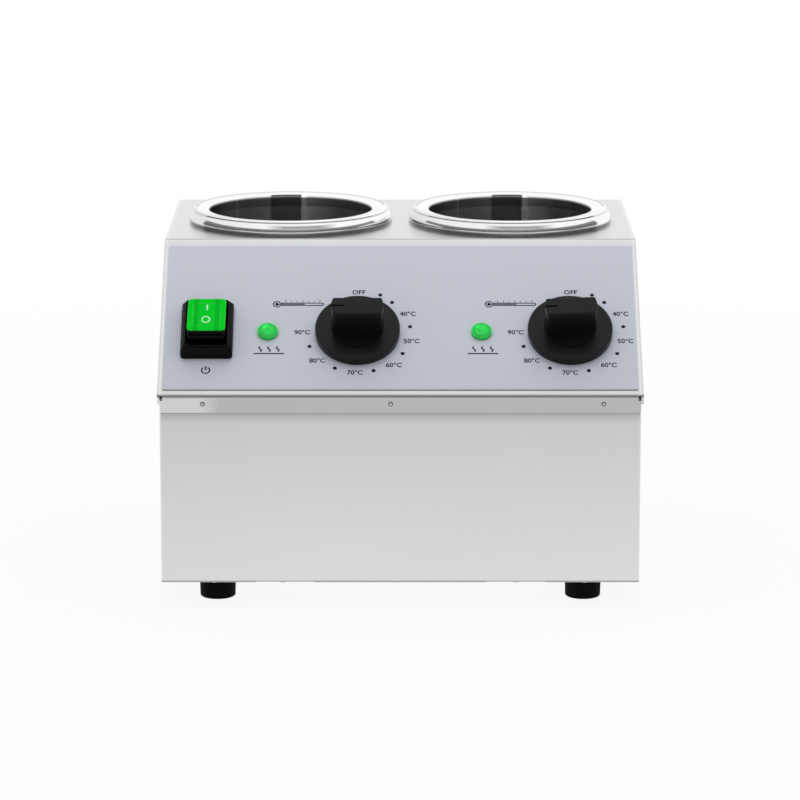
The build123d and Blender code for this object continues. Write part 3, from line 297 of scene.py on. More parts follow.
def opaque(colour):
    # a colour, or one number for a grey, with its fourth value
    return (*np.broadcast_to(colour, 3), 1.0)


vectorKind, valueKind = "NodeSocketVector", "NodeSocketFloat"
effects = {"broadScale": 0.17, "edgeGain": 6.0, "edgeSpots": 220.0, "speckScale": 45.0, "edgePolish": -0.12,
           "dustColour": (0.55, 0.54, 0.52)}


def buildGrain():
    # fine noise on stretched coordinates for streaks, and a coarser layer of the same for tone
    group, source, sink = newGroup(
        "streakGrain",
        [("Vector", vectorKind, None), ("Stretch", vectorKind, (1, 1, 1)), ("Scale", valueKind, 400.0)],
        ["Fine", "Broad"],
    )
    vector, stretch, scale = source.outputs[0], source.outputs[1], source.outputs[2]
    stretched = onVectors("MULTIPLY", vector, stretch)
    group.links.new(noise(stretched, scale, 5.0, 0.6), sink.inputs[0])
    wide = times(scale, effects["broadScale"])
    group.links.new(noise(stretched, wide, 3.0, 0.55), sink.inputs[1])
    return group


def buildEdgeWearAndSheen():
    # where a rounded normal leaves the true one, there is an edge; noise breaks the line up
    group, source, sink = newGroup(
        "edgeWearAndSheen", [("Radius", valueKind, 0.0006), ("Amount", valueKind, 0.5)], ["Edge"]
    )
    rounded = addNode("Bevel", [("Radius", source.outputs[0])], samples=4)
    true = addNode("NewGeometry", tree=group)
    match = onVectors("DOT_PRODUCT", rounded.outputs[0], true.outputs["Normal"])
    sharp = blend("MULTIPLY", blend("SUBTRACT", 1.0, match), effects["edgeGain"], clamp=True)
    place = addNode("TexCoord", tree=group)
    spots = noise(place.outputs["Object"], effects["edgeSpots"], 4.0)
    broken = remap(spots, 0.38, 0.62, 0.35, 1.0)
    group.links.new(times(sharp, broken, source.outputs[1]), sink.inputs[0])
    return group


def buildHandling():
    # slow patches of polish and haze, with sparse finer specks of dust
    group, source, sink = newGroup(
        "handling", [("Vector", vectorKind, None), ("Scale", valueKind, 14.0)], ["Patch", "Speck"]
    )
    vector, scale = source.outputs[0], source.outputs[1]
    group.links.new(noise(vector, scale, 4.0, distortion=0.4), sink.inputs[0])
    specks = noise(vector, times(scale, effects["speckScale"]), 2.0)
    group.links.new(remap(specks, 0.66, 0.8, 0.0, 1.0), sink.inputs[1])
    return group


grainGroup, wearGroup, handlingGroup = buildGrain(), buildEdgeWearAndSheen(), buildHandling()

finishDefaults = {
    "colour": 0.5, "metallic": 0.0, "roughness": 0.4, "specular": 0.5, "coords": "Object",
    "stretch": (1, 1, 1), "grainScale": 400.0, "grainTone": 0.05, "broadTone": 0.05, "patchTone": 0.04,
    "grainRoughness": 0.08, "patchRoughness": 0.08, "grainBump": 0.1, "bumpDepth": 0.00005, "wear": 0.3,
    "wearColour": 0.9, "wearRadius": 0.0006, "dust": 0.15, "anisotropic": 0.0, "second": None, "shade": None,
}


def edgeMask(tree, radius, amount):
    return addNode("Group", [(0, radius), (1, amount)], tree, node_tree=wearGroup).outputs[0]


def makeFinish(name, **changes):
    # one base colour, shaded by grain, patches, dust and worn edges, which also steer the gloss and the bump,
    # and by the piece's own painted light and shade where it has one; the worn edges' lighter colour is
    # partly a painted highlight
    finish = {**finishDefaults, **changes}
    material = bpy.data.materials.new(name)
    material.use_nodes = True
    tree = material.node_tree
    shader = tree.nodes["Principled BSDF"]
    place = addNode("TexCoord", tree=tree)
    links = enumerate((place.outputs[finish["coords"]], finish["stretch"], finish["grainScale"]))
    fine, broad = addNode("Group", links, node_tree=grainGroup).outputs
    links = [(0, place.outputs["Object"])]
    patch, speck = addNode("Group", links, node_tree=handlingGroup).outputs
    edge = edgeMask(tree, finish["wearRadius"], finish["wear"])
    tone = 1.0
    for layer, amount in ((fine, "grainTone"), (broad, "broadTone"), (patch, "patchTone")):
        # each noise is centred on a half, so the tone swings evenly about one
        tone = times(blend("MULTIPLY_ADD", layer, 2 * finish[amount], 1 - finish[amount]), tone)
    if finish["shade"]:
        tone = times(tone, finish["shade"](place))
    base = opaque(finish["colour"])
    if finish["second"]:
        base = mixColour(remap(broad, 0.4, 0.6, 0.0, 1.0), base, opaque(finish["second"]))
    # edges take a lighter worn colour, partly real wear and partly a painted highlight along the edges
    colour = mixColour(edge, shaded(base, tone), opaque(finish["wearColour"]))
    colour = mixColour(times(speck, finish["dust"]), colour, opaque(effects["dustColour"]))
    lowest = finish["roughness"] - finish["grainRoughness"] - finish["patchRoughness"]
    rough = blend("MULTIPLY_ADD", fine, 2 * finish["grainRoughness"], lowest)
    rough = blend("MULTIPLY_ADD", patch, 2 * finish["patchRoughness"], rough)
    rough = blend("MULTIPLY_ADD", edge, effects["edgePolish"], rough, clamp=True)
    links = [("Strength", finish["grainBump"]), ("Distance", finish["bumpDepth"]), ("Height", fine)]
    tree.links.new(colour, shader.inputs["Base Color"])
    tree.links.new(rough, shader.inputs["Roughness"])
    tree.links.new(addNode("Bump", links).outputs[0], shader.inputs["Normal"])
    shader.inputs["Metallic"].default_value = finish["metallic"]
    shader.inputs["Specular IOR Level"].default_value = finish["specular"]
    shader.inputs["Anisotropic"].default_value = finish["anisotropic"]
    if finish["anisotropic"]:
        tangent = addNode("Tangent", tree=tree, direction_type="UV_MAP", uv_map="surface")
        tree.links.new(tangent.outputs[0], shader.inputs["Tangent"])
    return material


def upSlope(place):
    # distance up the panel from its foot, in metres
    along = onVectors("DOT_PRODUCT", place.outputs["Object"], tuple(panelUp))
    return blend("SUBTRACT", along, float(panelFoot @ panelUp) * millimetre)


# Finishes of the carried-over nodes. In the dictionaries of shades a change is a start, an end and the shades
# there, and a line is its middle, half its width, its fade and its shade, all in metres.

hood = {
    "stripFade": (-0.1255, -0.1125, 1.2, 0.9), "stripTop": (0.1345, 0.1349, 1.0, 0.0),
    "bend": (0.1361, 0.0007, 0.0006, 0.46), "front": (-0.1392, -0.1382, 1.0, 0.0),
    "fold": (0.1307, 0.0002, 0.0006, 0.68), "plate": (0.2155, 0.2165, 0.0, 1.0), "plateTone": 1.06,
    "sideStart": (0.1492, 0.1498, 1.0, 1.2), "sideEnd": (0.1499, 0.1502, 1.0, 1 / 1.2),
}
housing = {
    "line": (0.1245, 0.1254, 1.0, 0.38), "shadow": (0.119, 0.1245, 1.0, 0.72),
    "inside": (0.1488, 0.1496, 1.0, 0.0), "rise": (0.02, 0.12, 1.03, 0.99),
    "foot": (0.0172, 0.0178, 0.5, 1.0),
}
film = {"rise": (0.004, 0.124, 0.98, 1.04), "edge": (0.0041, 0.0048, 0.45, 1.0)}


def hoodShade(place):
    # painted light and shade: the front strip is darker than the rest and lighter at its left end with
    # painted reflection, both bends hold a dark line of painted shade, the top plate is a little lighter with
    # painted light, and the upright bends at the sides carry a painted highlight that makes them lighter than
    # the faces beside them
    x, y, z = apart(place)
    strip = within(remap(x, *hood["stripFade"]), remap(z, *hood["stripTop"]))
    strip = times(strip, nearTo(z, *hood["bend"]))
    front = within(strip, remap(y, *hood["front"]))
    fold = times(nearTo(upSlope(place), *hood["fold"]), hood["plateTone"])
    fold = within(fold, remap(z, *hood["plate"]))
    away = distant(x)
    return times(front, fold, remap(away, *hood["sideStart"]), remap(away, *hood["sideEnd"]))


def housingShade(place):
    # a painted shadow under the hood's strip with a darker painted line at its edge, a thin line of painted
    # shade along the bottom bend, and painted light that makes the faces a little lighter towards the bottom
    x, y, z = apart(place)
    under = times(remap(z, *housing["line"]), remap(z, *housing["shadow"]))
    under = within(under, remap(distant(x), *housing["inside"]))
    return times(under, remap(z, *housing["rise"]), remap(z, *housing["foot"]))


def filmShade(place):
    # painted light makes it a little lighter towards the top, with a dark cut edge at the foot
    up = upSlope(place)
    return times(remap(up, *film["rise"]), remap(up, *film["edge"]))


steel = {"metallic": 1.0, "wear": 0.35, "wearColour": 0.92, "dust": 0.04}
sheet = {
    **steel, "stretch": (0.02, 1, 1), "grainScale": 2600, "grainTone": 0.035, "patchTone": 0.012,
    "grainRoughness": 0.05, "patchRoughness": 0.03, "grainBump": 0.12,
}
fastener = {**steel, "colour": 0.62, "grainScale": 900}
blackWearAndSheen = {"wearColour": 0.03, "wearRadius": 0.0004, "dust": 0.008}
brushedSteel = makeFinish(
    "brushedSteel", **sheet, colour=0.78, roughness=0.34, broadTone=0.015, shade=housingShade
)
hoodSteel = makeFinish("hoodSteel", **sheet, colour=0.7, roughness=0.32, broadTone=0.02, shade=hoodShade)
fastenerSteel = makeFinish("fastenerSteel", **fastener, roughness=0.28)
heaterSheath = makeFinish(
    "heaterSheath", metallic=1.0, colour=(0.36, 0.33, 0.3), roughness=0.5, second=(0.27, 0.24, 0.24),
    grainScale=500, dust=0.2,
)
switchPlastic = makeFinish(
    "switchPlastic", **blackWearAndSheen, colour=(0.0022, 0.0022, 0.0024), roughness=0.24, specular=0.06,
    grainScale=2600, grainTone=0.2, broadTone=0.1, patchTone=0.1, grainRoughness=0.04, bumpDepth=0.00002,
    wear=0.2,
)
footRubber = makeFinish(
    "footRubber", colour=(0.004, 0.004, 0.0042), roughness=0.66, specular=0.06, grainScale=1500,
    grainTone=0.3, patchTone=0.2, grainBump=0.4, wear=0.25, wearColour=0.03, dust=0.01,
)
sealRubber = makeFinish("sealRubber", roughness=0.6, grainScale=1200, grainTone=0.08, grainBump=0.3, wear=0.1)
glandPlastic = makeFinish(
    "glandPlastic", colour=(0.03, 0.03, 0.032), roughness=0.38, specular=0.4, grainScale=1800, grainTone=0.2,
    grainBump=0.25, wear=0.25, wearColour=0.12, wearRadius=0.0004,
)
insulationWool = makeFinish(
    "insulationWool", colour=(0.8, 0.78, 0.7), second=(0.66, 0.62, 0.52), roughness=0.9, grainScale=420,
    stretch=(1, 1, 0.35), grainTone=0.14, grainBump=0.9, bumpDepth=0.0006, wear=0.2,
    wearColour=(0.85, 0.83, 0.77),
)
ceramic = makeFinish(
    "glazedCeramic", colour=(0.86, 0.84, 0.8), roughness=0.22, grainScale=500, grainTone=0.03
)
wireSleeve = makeFinish(
    "wireSleeve", colour=(0.6, 0.1, 0.08), roughness=0.5, grainScale=900, grainTone=0.1, grainBump=0.3,
    wear=0.1,
)
innerPlastic = makeFinish(
    "innerPlastic", colour=(0.35, 0.3, 0.22), second=(0.29, 0.24, 0.17), roughness=0.5, grainScale=900,
    grainTone=0.12, grainBump=0.3, wearColour=(0.5, 0.46, 0.38),
)
copperTube = makeFinish(
    "copperTube", metallic=1.0, colour=(0.72, 0.42, 0.26), second=(0.6, 0.34, 0.22), roughness=0.3,
    grainScale=600, wearColour=(0.85, 0.6, 0.45),
)
brassFittings = makeFinish(
    "brassFittings", metallic=1.0, colour=(0.75, 0.6, 0.3), second=(0.66, 0.5, 0.24), roughness=0.28,
    grainScale=700, wear=0.4, wearColour=(0.9, 0.8, 0.55),
)
overlayFilm = makeFinish(
    "overlayFilm", colour=(0.535, 0.565, 0.635), roughness=0.38, specular=0.35, grainScale=3200,
    grainTone=0.015, broadTone=0.01, patchTone=0.008, grainRoughness=0.05, patchRoughness=0.04,
    bumpDepth=0.00002, wear=0.25, wearColour=(0.8, 0.82, 0.86), dust=0.02, shade=filmShade,
)


def pairs(*names):
    return [side + name for name in names for side in ("left_", "right_")]


nodeFinish = {
    brushedSteel: ["lower_housing", "base_plate"],
    hoodSteel: ["hood_shell"],
    overlayFilm: ["control_overlay"],
    fastenerSteel: pairs("dial_shaft") + [
        "well_nuts", "strap_screws", "thermostat_screws", "lamp_nuts", "foot_screws", "base_screws",
        "earth_stud",
    ],
    heaterSheath: pairs("band_heater", "heater_strap"),
    insulationWool: pairs("insulation"),
    copperTube: pairs("capillary", "sensing_bulb", "bulb_clip"),
    brassFittings: ["earth_nuts"],
    innerPlastic: pairs("thermostat", "limiter", "lamp_body"),
    switchPlastic: ["switch_body", "rocker_pin"],
    sealRubber: pairs("well_gasket") + ["gland_seal"],
    ceramic: ["terminal_block"],
    wireSleeve: ["wiring"],
    glandPlastic: ["gland_body", "gland_nut", "gland_locknut"],
    footRubber: ["front_left_foot", "front_right_foot", "rear_left_foot", "rear_right_foot"],
}
for material, names in nodeFinish.items():
    for name in names:
        nodes[name].data.materials.clear()
        nodes[name].data.materials.append(material)
print("nodes finished")

# Wells

well = {
    "x": 72.4, "y": 31.85, "plate": 218.3, "radius": 53.3, "wall": 0.8, "depth": 150.0, "floorRadius": 6.0,
    "flange": 62.8, "flangeFoot": 219.3, "bends": (0.8, 0.3, 0.3, 0.04), "bendSteps": 10, "segments": 256,
}
ring = {
    "edge": 66.7, "edgeHeight": 1.9, "crease": (64.4, 8.4), "faceMiddle": (66.35, 5.15),
    "crest": (62.5, 10.1), "shoulder": (63.85, 9.65), "mouth": 7.1, "mouthRound": 1.8, "sheet": 1.0,
    "inside": 63.1, "foot": 1.8,
    "brushed": (0.6, 1.0), "studCircle": 59.0, "studRadius": 2.0, "studReach": 10.0, "studTop": 8.4,
    "studTurns": (30, 150, 270), "studBends": (0.4, 0.2), "studSegments": 24,
}
# painted reflections: a drawn cup mirrors upright bands, and these are painted into its colour; each stop is
# an angle round the cup and the shade there
cupReflectionBands = [
    (0, 0.55), (20, 0.6), (38.4, 0.55), (38.7, 1.0), (39.0, 1.0), (39.3, 0.55), (45, 0.55), (52, 0.6),
    (62, 0.78), (70, 0.86), (75.8, 1.0), (76.1, 1.75), (79.6, 1.75), (80.0, 0.26), (101.3, 0.26),
    (101.7, 0.68), (120, 0.58), (129.0, 0.62), (129.3, 1.0), (129.6, 1.0), (129.9, 0.66), (140, 0.64),
    (150, 0.48), (165, 0.2), (200, 0.45), (360, 0.55),
]
cupShades = {
    "leftTurn": 4.3, "floor": 0.27, "wall": (0.0455, 0.0515, 0.0, 1.0), "joint": (0.2196, 0.2202, 3.0, 2.0),
}
ringShades = {
    "facing": (0.86, 0.97, 1.0, 0.4), "foot": (0.2202, 0.2212, 0.2, 1.0),
    "crease": (0.0644, 0.00012, 0.0002, 0.72), "farEdge": (0.0617, 0.0006, 0.0006, 0.55),
    "streakTurn": (274 / 360, 0.028, 0.03, 0.0), "streakHeight": (0.2243, 0.0005, 0.001, 0.0), "streak": 0.38,
    "dimTurn": (0.52, 0.76, 0.76, 1.0), "dimReach": (0.0625, 0.0632, 1.0, 0.0),
    "barTurn": (90.5 / 360, 0.029, 0.002, 0.0), "barReach": (0.0554, 0.0562, 0.0, 1.0), "bar": 0.08,
}


def aroundWell(place):
    # angle as a share of a turn, and distance, both from the nearer well's middle; seen from the camera, the
    # left well's painted reflection bands stand a few degrees further round
    x, y, z = apart(place)
    middle = times(blend("SIGN", x), well["x"] * millimetre)
    across, along = blend("SUBTRACT", x, middle), blend("SUBTRACT", y, well["y"] * millimetre)
    turn = blend("DIVIDE", blend("ARCTAN2", along, across), 2 * math.pi)
    turn = blend("MULTIPLY_ADD", blend("LESS_THAN", x), -cupShades["leftTurn"] / 360, turn)
    flat = addNode("CombineXYZ", [(0, across), (1, along)]).outputs[0]
    return blend("FRACT", blend("ADD", turn, 1.0)), onVectors("LENGTH", flat), z


def cupShade(place):
    # the painted reflection bands on the wall and one even shade on the floor; the curve holds half of each
    # shade, so the ring's wall takes it twice, and the cup below their joint, lifted with painted light,
    # three times
    turn, away, z = aroundWell(place)
    bands = addNode("FloatCurve", [("Value", turn)])
    points = bands.mapping.curves[0].points
    points[0].location, points[1].location = (0, cupReflectionBands[0][1] / 2), (1, cupReflectionBands[-1][1] / 2)
    for angle, shade in cupReflectionBands[1:-1]:
        points.new(angle / 360, shade / 2)
    for point in points:
        point.handle_type = "VECTOR"
    bands.mapping.update()
    shade = within(bands.outputs[0], remap(away, *cupShades["wall"]), cupShades["floor"])
    return times(shade, remap(z, *cupShades["joint"]))


def ringShade(place):
    # painted reflection and shade in polished steel: it darkens where it is seen along its surface; its foot
    # holds a dark line of painted shade, its crease and far edge dark lines of painted reflection, its near
    # face is painted darker at the left and holds a grey painted reflection streak, and its rolled mouth a
    # painted reflection of an upright dark bar
    facing = addNode("LayerWeight", [("Blend", 0.5)], place.id_data).outputs["Facing"]
    turn, away, z = aroundWell(place)
    far = blend("LESS_THAN", turn, 0.5)
    streak = nearTo(turn, *ringShades["streakTurn"])
    streak = blend("MAXIMUM", streak, nearTo(z, *ringShades["streakHeight"]))
    dim = blend("MAXIMUM", remap(turn, *ringShades["dimTurn"]), far)
    bar = nearTo(turn, *ringShades["barTurn"])
    bar = blend("MAXIMUM", bar, remap(away, *ringShades["barReach"]))
    return times(
        remap(facing, *ringShades["facing"]), remap(z, *ringShades["foot"]),
        nearTo(away, *ringShades["crease"]), within(nearTo(away, *ringShades["farEdge"]), far),
        blend("MULTIPLY_ADD", streak, 1 - ringShades["streak"], ringShades["streak"]),
        blend("MAXIMUM", dim, remap(away, *ringShades["dimReach"])),
        blend("MULTIPLY_ADD", bar, 1 - ringShades["bar"], ringShades["bar"]),
    )


drawnSteel = makeFinish(
    "drawnSteel", **{**steel, "wear": 0.03}, colour=(0.57, 0.57, 0.575), roughness=0.3, coords="UV",
    stretch=(0.02, 1, 1), grainScale=1900, grainTone=0.06, grainRoughness=0.06, anisotropic=0.5,
    shade=cupShade,
)
polishedSteel = makeFinish(
    "polishedSteel", **steel, colour=(0.95, 0.95, 0.955), roughness=0.12, coords="UV", stretch=(0.01, 1, 1),
    grainScale=3000, grainTone=0.02, broadTone=0.012, patchTone=0.01, grainRoughness=0.03,
    patchRoughness=0.02, grainBump=0.05, shade=ringShade,
)


def cupProfile():
    # from the underside's middle up the outer skin, over the flange and down inside to the floor's middle
    floor, outer = well["plate"] - well["depth"], well["radius"] + well["wall"]
    flangeTop = well["flangeFoot"] + well["wall"]
    corners = [
        (0, floor - well["wall"]), (outer, floor - well["wall"]), (outer, well["flangeFoot"]),
        (well["flange"], well["flangeFoot"]), (well["flange"], flangeTop), (well["radius"], flangeTop),
        (well["radius"], floor), (0, floor),
    ]
    radii = [0, well["floorRadius"] + well["wall"], *well["bends"], well["floorRadius"], 0]
    return roundCorners(corners, radii, well["bendSteps"])


def ringProfile():
    # up the outer edge, over the steep face to the crease, round the shoulder to the crest, in and down to
    # the rolled mouth, down inside, then back along the underside; heights stand on the top plate
    wall, sheet, mouth, bend = well["radius"], ring["sheet"], ring["mouth"], ring["mouthRound"]
    face = arcThrough((ring["edge"], ring["edgeHeight"]), ring["faceMiddle"], ring["crease"], 24)
    shoulder = arcThrough(ring["crease"], ring["shoulder"], ring["crest"], 12)
    middle = 1 - math.sqrt(0.5)
    halfway = (wall + bend * middle, mouth + bend * (1 - middle))
    roll = arcThrough((wall + bend, mouth + bend), halfway, (wall, mouth), 10)
    roof = mouth + bend - sheet
    foot, inside = ring["foot"], ring["inside"]
    under = [
        (wall, foot), (wall + sheet, foot), (wall + sheet, mouth), (wall + bend, roof),
        (inside - sheet, roof), (inside, roof - sheet), (inside, 0), (ring["edge"], 0),
    ]
    profile = np.concatenate([[(ring["edge"], 0)], face, shoulder[1:], roll, under])
    return profile + (0, well["plate"])


def studProfile():
    low, high, radius = -ring["studReach"], ring["studTop"], ring["studRadius"]
    return roundCorners([(0, low), (radius, low), (radius, high), (0, high)], [0, *ring["studBends"], 0], 3)


for side, wellX in (("left", -well["x"]), ("right", well["x"])):
    centre = np.array((wellX, well["y"], 0))
    cup = gridMesh(revolve(cupProfile(), well["segments"], centre))
    addPiece(side + "Cup", [cup], drawnSteel, "warmer", side + "_well_cup")
    parts = [gridMesh(revolve(ringProfile(), well["segments"], centre))]
    for turn in ring["studTurns"]:
        foot = centre + (*polar(ring["studCircle"], math.radians(turn)), well["plate"])
        parts.append(gridMesh(revolve(studProfile(), ring["studSegments"], foot)))
    piece = addPiece(side + "Ring", parts, polishedSteel, "warmer", side + "_well_ring", 32)
    # its inner wall is brushed like the cup's
    piece.data.materials.append(drawnSteel)
    middles = np.zeros(len(piece.data.polygons) * 3)
    piece.data.polygons.foreach_get("center", middles)
    middles = middles.reshape(-1, 3) / millimetre - centre
    beyond, above = ring["brushed"]
    wall = np.hypot(middles[:, 0], middles[:, 1]) < well["radius"] + beyond
    wall &= middles[:, 2] > well["plate"] + above
    piece.data.polygons.foreach_set("material_index", wall.astype(np.int32))
print("wells made")

# Dials

dial = {
    "places": {"left": (-26.9, 270.0), "right": (106.8, 267.0)}, "foot": 1.0, "skirt": 26.65, "skirtTop": 6.4,
    "skirtFoot": 0.35, "skirtEdge": 0.8, "skirtWall": 3.15, "hollow": 3.4, "hub": 6.0, "bore": 3.05,
    "boreFlat": 2.25, "boreTop": 18.05, "boss": 16.5, "bossTop": 7.6, "gripHalf": 6.5, "gripTop": 27.3,
    "gripEdge": 0.5, "gripPower": 40.0, "groove": (8.4, 1.2, 1.6), "grooveBend": 0.2,
}
dialTurn = np.arange(288) * 2 * math.pi / 288
knobPlastic = makeFinish(
    "knobPlastic", **blackWearAndSheen, colour=(0.005, 0.005, 0.0053), roughness=0.33, specular=0.2, grainScale=2200,
    grainTone=0.25, broadTone=0.12, patchTone=0.1, grainRoughness=0.06, patchRoughness=0.06, grainBump=0.22,
    bumpDepth=0.00003, wear=0.12,
)


def gripOutline(inset):
    # the nearer of a round end and two straight sides, softly joined at their corners
    end, power = dial["boss"] - 0.1 - inset, dial["gripPower"]
    side = (dial["gripHalf"] - inset) / np.maximum(np.abs(np.sin(dialTurn)), 1e-4)
    return polar((end**-power + side**-power) ** (-1 / power), dialTurn)


def boreOutline():
    # a circle cut off by one flat
    flat = dial["boreFlat"] / np.maximum(np.sin(dialTurn), 1e-4)
    return polar(np.minimum(dial["bore"], np.where(np.sin(dialTurn) > 0, flat, dial["bore"])), dialTurn)


def knobLevels():
    # down the bore, under the hub, round the skirt, over the boss and up the grip to its closed top
    foot, skirt, top, boss, bossTop = (dial[key] for key in ("foot", "skirt", "skirtTop", "boss", "bossTop"))
    wall, hollow = skirt - dial["skirtWall"], foot + dial["hollow"]
    edge, gripTop = dial["gripEdge"], dial["gripTop"]
    outside = roundCorners(
        [(wall, foot), (skirt, foot), (skirt, top), (boss + 1.2, top), (boss, top + 0.05), (boss, bossTop),
         (boss - 0.08, bossTop)],
        [0, dial["skirtFoot"], dial["skirtEdge"], 0, 0, 0, 0], 8,
    )[1:]
    rounds = [(dial["hub"], foot), (dial["hub"], hollow), (wall, hollow), (wall, foot), *outside]
    levels = [(boreOutline() * 0, dial["boreTop"]), (boreOutline(), dial["boreTop"]), (boreOutline(), foot)]
    levels += [(polar(radius, dialTurn), height) for radius, height in rounds]
    grip = [bossTop + 0.02, *np.linspace(bossTop + 1, gripTop - edge, 6)]
    levels += [(gripOutline(0.0), height) for height in grip]
    for step in np.linspace(0, math.pi / 2, 7)[1:]:
        levels.append((gripOutline(edge * (1 - math.cos(step))), gripTop - edge * (1 - math.sin(step))))
    last = gripOutline(edge)
    return levels + [(last * (1, 0.5), gripTop), (last * (1, 0), gripTop)]


for side, (dialX, pointer) in dial["places"].items():
    turn = math.radians(90 - pointer)
    grid = onPanel(loft(knobLevels()), dialX, dialRow, turn)
    knob = addPiece(
        side + "Knob", [gridMesh(grid)], knobPlastic, side + "_dial", side + "_dial_knob", 40
    )
    # the pointer's groove runs a little past the grip's end and top
    long, wide, deep = dial["groove"]
    heights = (dial["gripTop"] - deep, dial["gripTop"] + 1)
    slot = rectangles([(long + 2, wide, dial["grooveBend"], height) for height in heights], 5)
    slot[..., 0] += dial["boss"] + 1 - long / 2
    carve(knob, onPanel(slot, dialX, dialRow, turn))
print("dials made")

# Panel print

ink = {"height": 0.52, "thick": 0.05, "line": 0.85, "letter": 4.8, "bold": 0.09, "lower": 0.9}
scaleMarks = {
    "places": (-26.3, 108.1), "dot": 1.3, "dotReach": 32.8, "dots": (40.0, 81.5, 122.0, 163.0, 206.5, 249.5),
    "firstDot": (23.4, 34.2),
    "labels": [("OFF", 0.0, 34.4), ("40°C", 62.3, 35.1), ("50°C", 100.8, 34.0), ("60°C", 139.5, 34.3),
               ("70°C", 183.7, 32.3), ("80°C", 228.9, 34.1), ("90°C", 271.5, 35.5)],
}
warmth = {"places": (-82.4, 51.8), "waves": (-5.5, 0.0, 5.5), "swing": 0.8, "foot": 35.2, "rise": 4.2,
          "bar": 9.5, "barRow": 33.6}
thermometer = {
    "places": (-64.6, 69.7), "row": 74.6, "tube": (-11.5, 16.0), "half": 0.95, "end": 0.9, "bulb": -13.6,
    "bulbRadius": 2.3, "neck": 28, "outline": 0.65, "drop": 1.2, "column": 4.0, "columnWidth": 0.6,
    "ticks": (-8.0, 3.6, 7), "tickRows": (76.4, 77.3, 77.9), "tickWidth": 0.45,
}
powerSign = {"x": -121.6, "row": 19.9, "radius": 2.5, "opening": (-238, 58), "stem": 23.2}
printInk = makeFinish(
    "printInk", colour=(0.007, 0.009, 0.024), roughness=0.45, specular=0.15, grainScale=2500, grainTone=0.15,
    wear=0.05, wearColour=(0.1, 0.11, 0.14), wearRadius=0.0001, dust=0.02,
)


def stroke(points, width=ink["line"], closed=False):
    # a flat ribbon: each point of the path moves half the width to either side of its own direction
    points = np.asarray(points, float)
    ahead = np.roll(points, -1, 0) - np.roll(points, 1, 0)
    if not closed:
        ahead[0], ahead[-1] = points[1] - points[0], points[-1] - points[-2]
    ahead /= np.linalg.norm(ahead, axis=1)[:, None]
    sideways = np.stack([-ahead[:, 1], ahead[:, 0]], -1) * width / 2
    rows = np.stack([points + sideways, points - sideways], 1)
    if closed:
        rows = np.concatenate([rows, rows[:1]])
    return gridMesh(np.concatenate([rows, np.zeros(rows.shape[:2] + (1,))], -1))


def disc(x, row, radius):
    turn = np.linspace(0, 2 * math.pi, 33)
    reach = np.array([0, radius])[:, None]
    return gridMesh(np.stack([x + reach * np.cos(turn), row - reach * np.sin(turn), 0 * reach * turn], -1))


def writing(text, x, row, size):
    # the letters are made a mesh while flat, then moved onto the panel as numbers
    curve = bpy.data.curves.new("letters", "FONT")
    curve.body, curve.size, curve.align_x, curve.align_y = text, size, "CENTER", "CENTER"
    curve.resolution_u, curve.offset = 4, ink["bold"]
    holder = addObject("letters", curve)
    mesh = settledMesh(holder)
    mesh.calc_loop_triangles()
    points = np.zeros(len(mesh.vertices) * 3)
    mesh.vertices.foreach_get("co", points)
    faces = np.zeros(len(mesh.loop_triangles) * 3, int)
    mesh.loop_triangles.foreach_get("vertices", faces)
    bpy.data.objects.remove(holder)
    points = points.reshape(-1, 3) * (1, 1, 0) + (x, row, 0)
    return points, faces.reshape(-1, 3), points[:, :2]


def addInk(name, shapes, material, body, place):
    # marks have faces of four corners and letters of three, so each kind is a piece; both get a thickness
    for kind, corners in (("Marks", 4), ("Letters", 3)):
        group = [shape for shape in shapes if shape[1].shape[1] == corners]
        if group:
            points, faces, uv = joined(group)
            piece = addPiece(name + kind, [(place(points), faces, uv)], material, body)
            thick = piece.modifiers.new("thickness", "SOLIDIFY")
            thick.thickness, thick.offset = ink["thick"] * millimetre, 0


def roundDial(x, angle, reach):
    # a place on the panel by its clockwise angle from the top and its distance
    return polar(reach, math.radians(90 - angle)) + (x, controlRow)


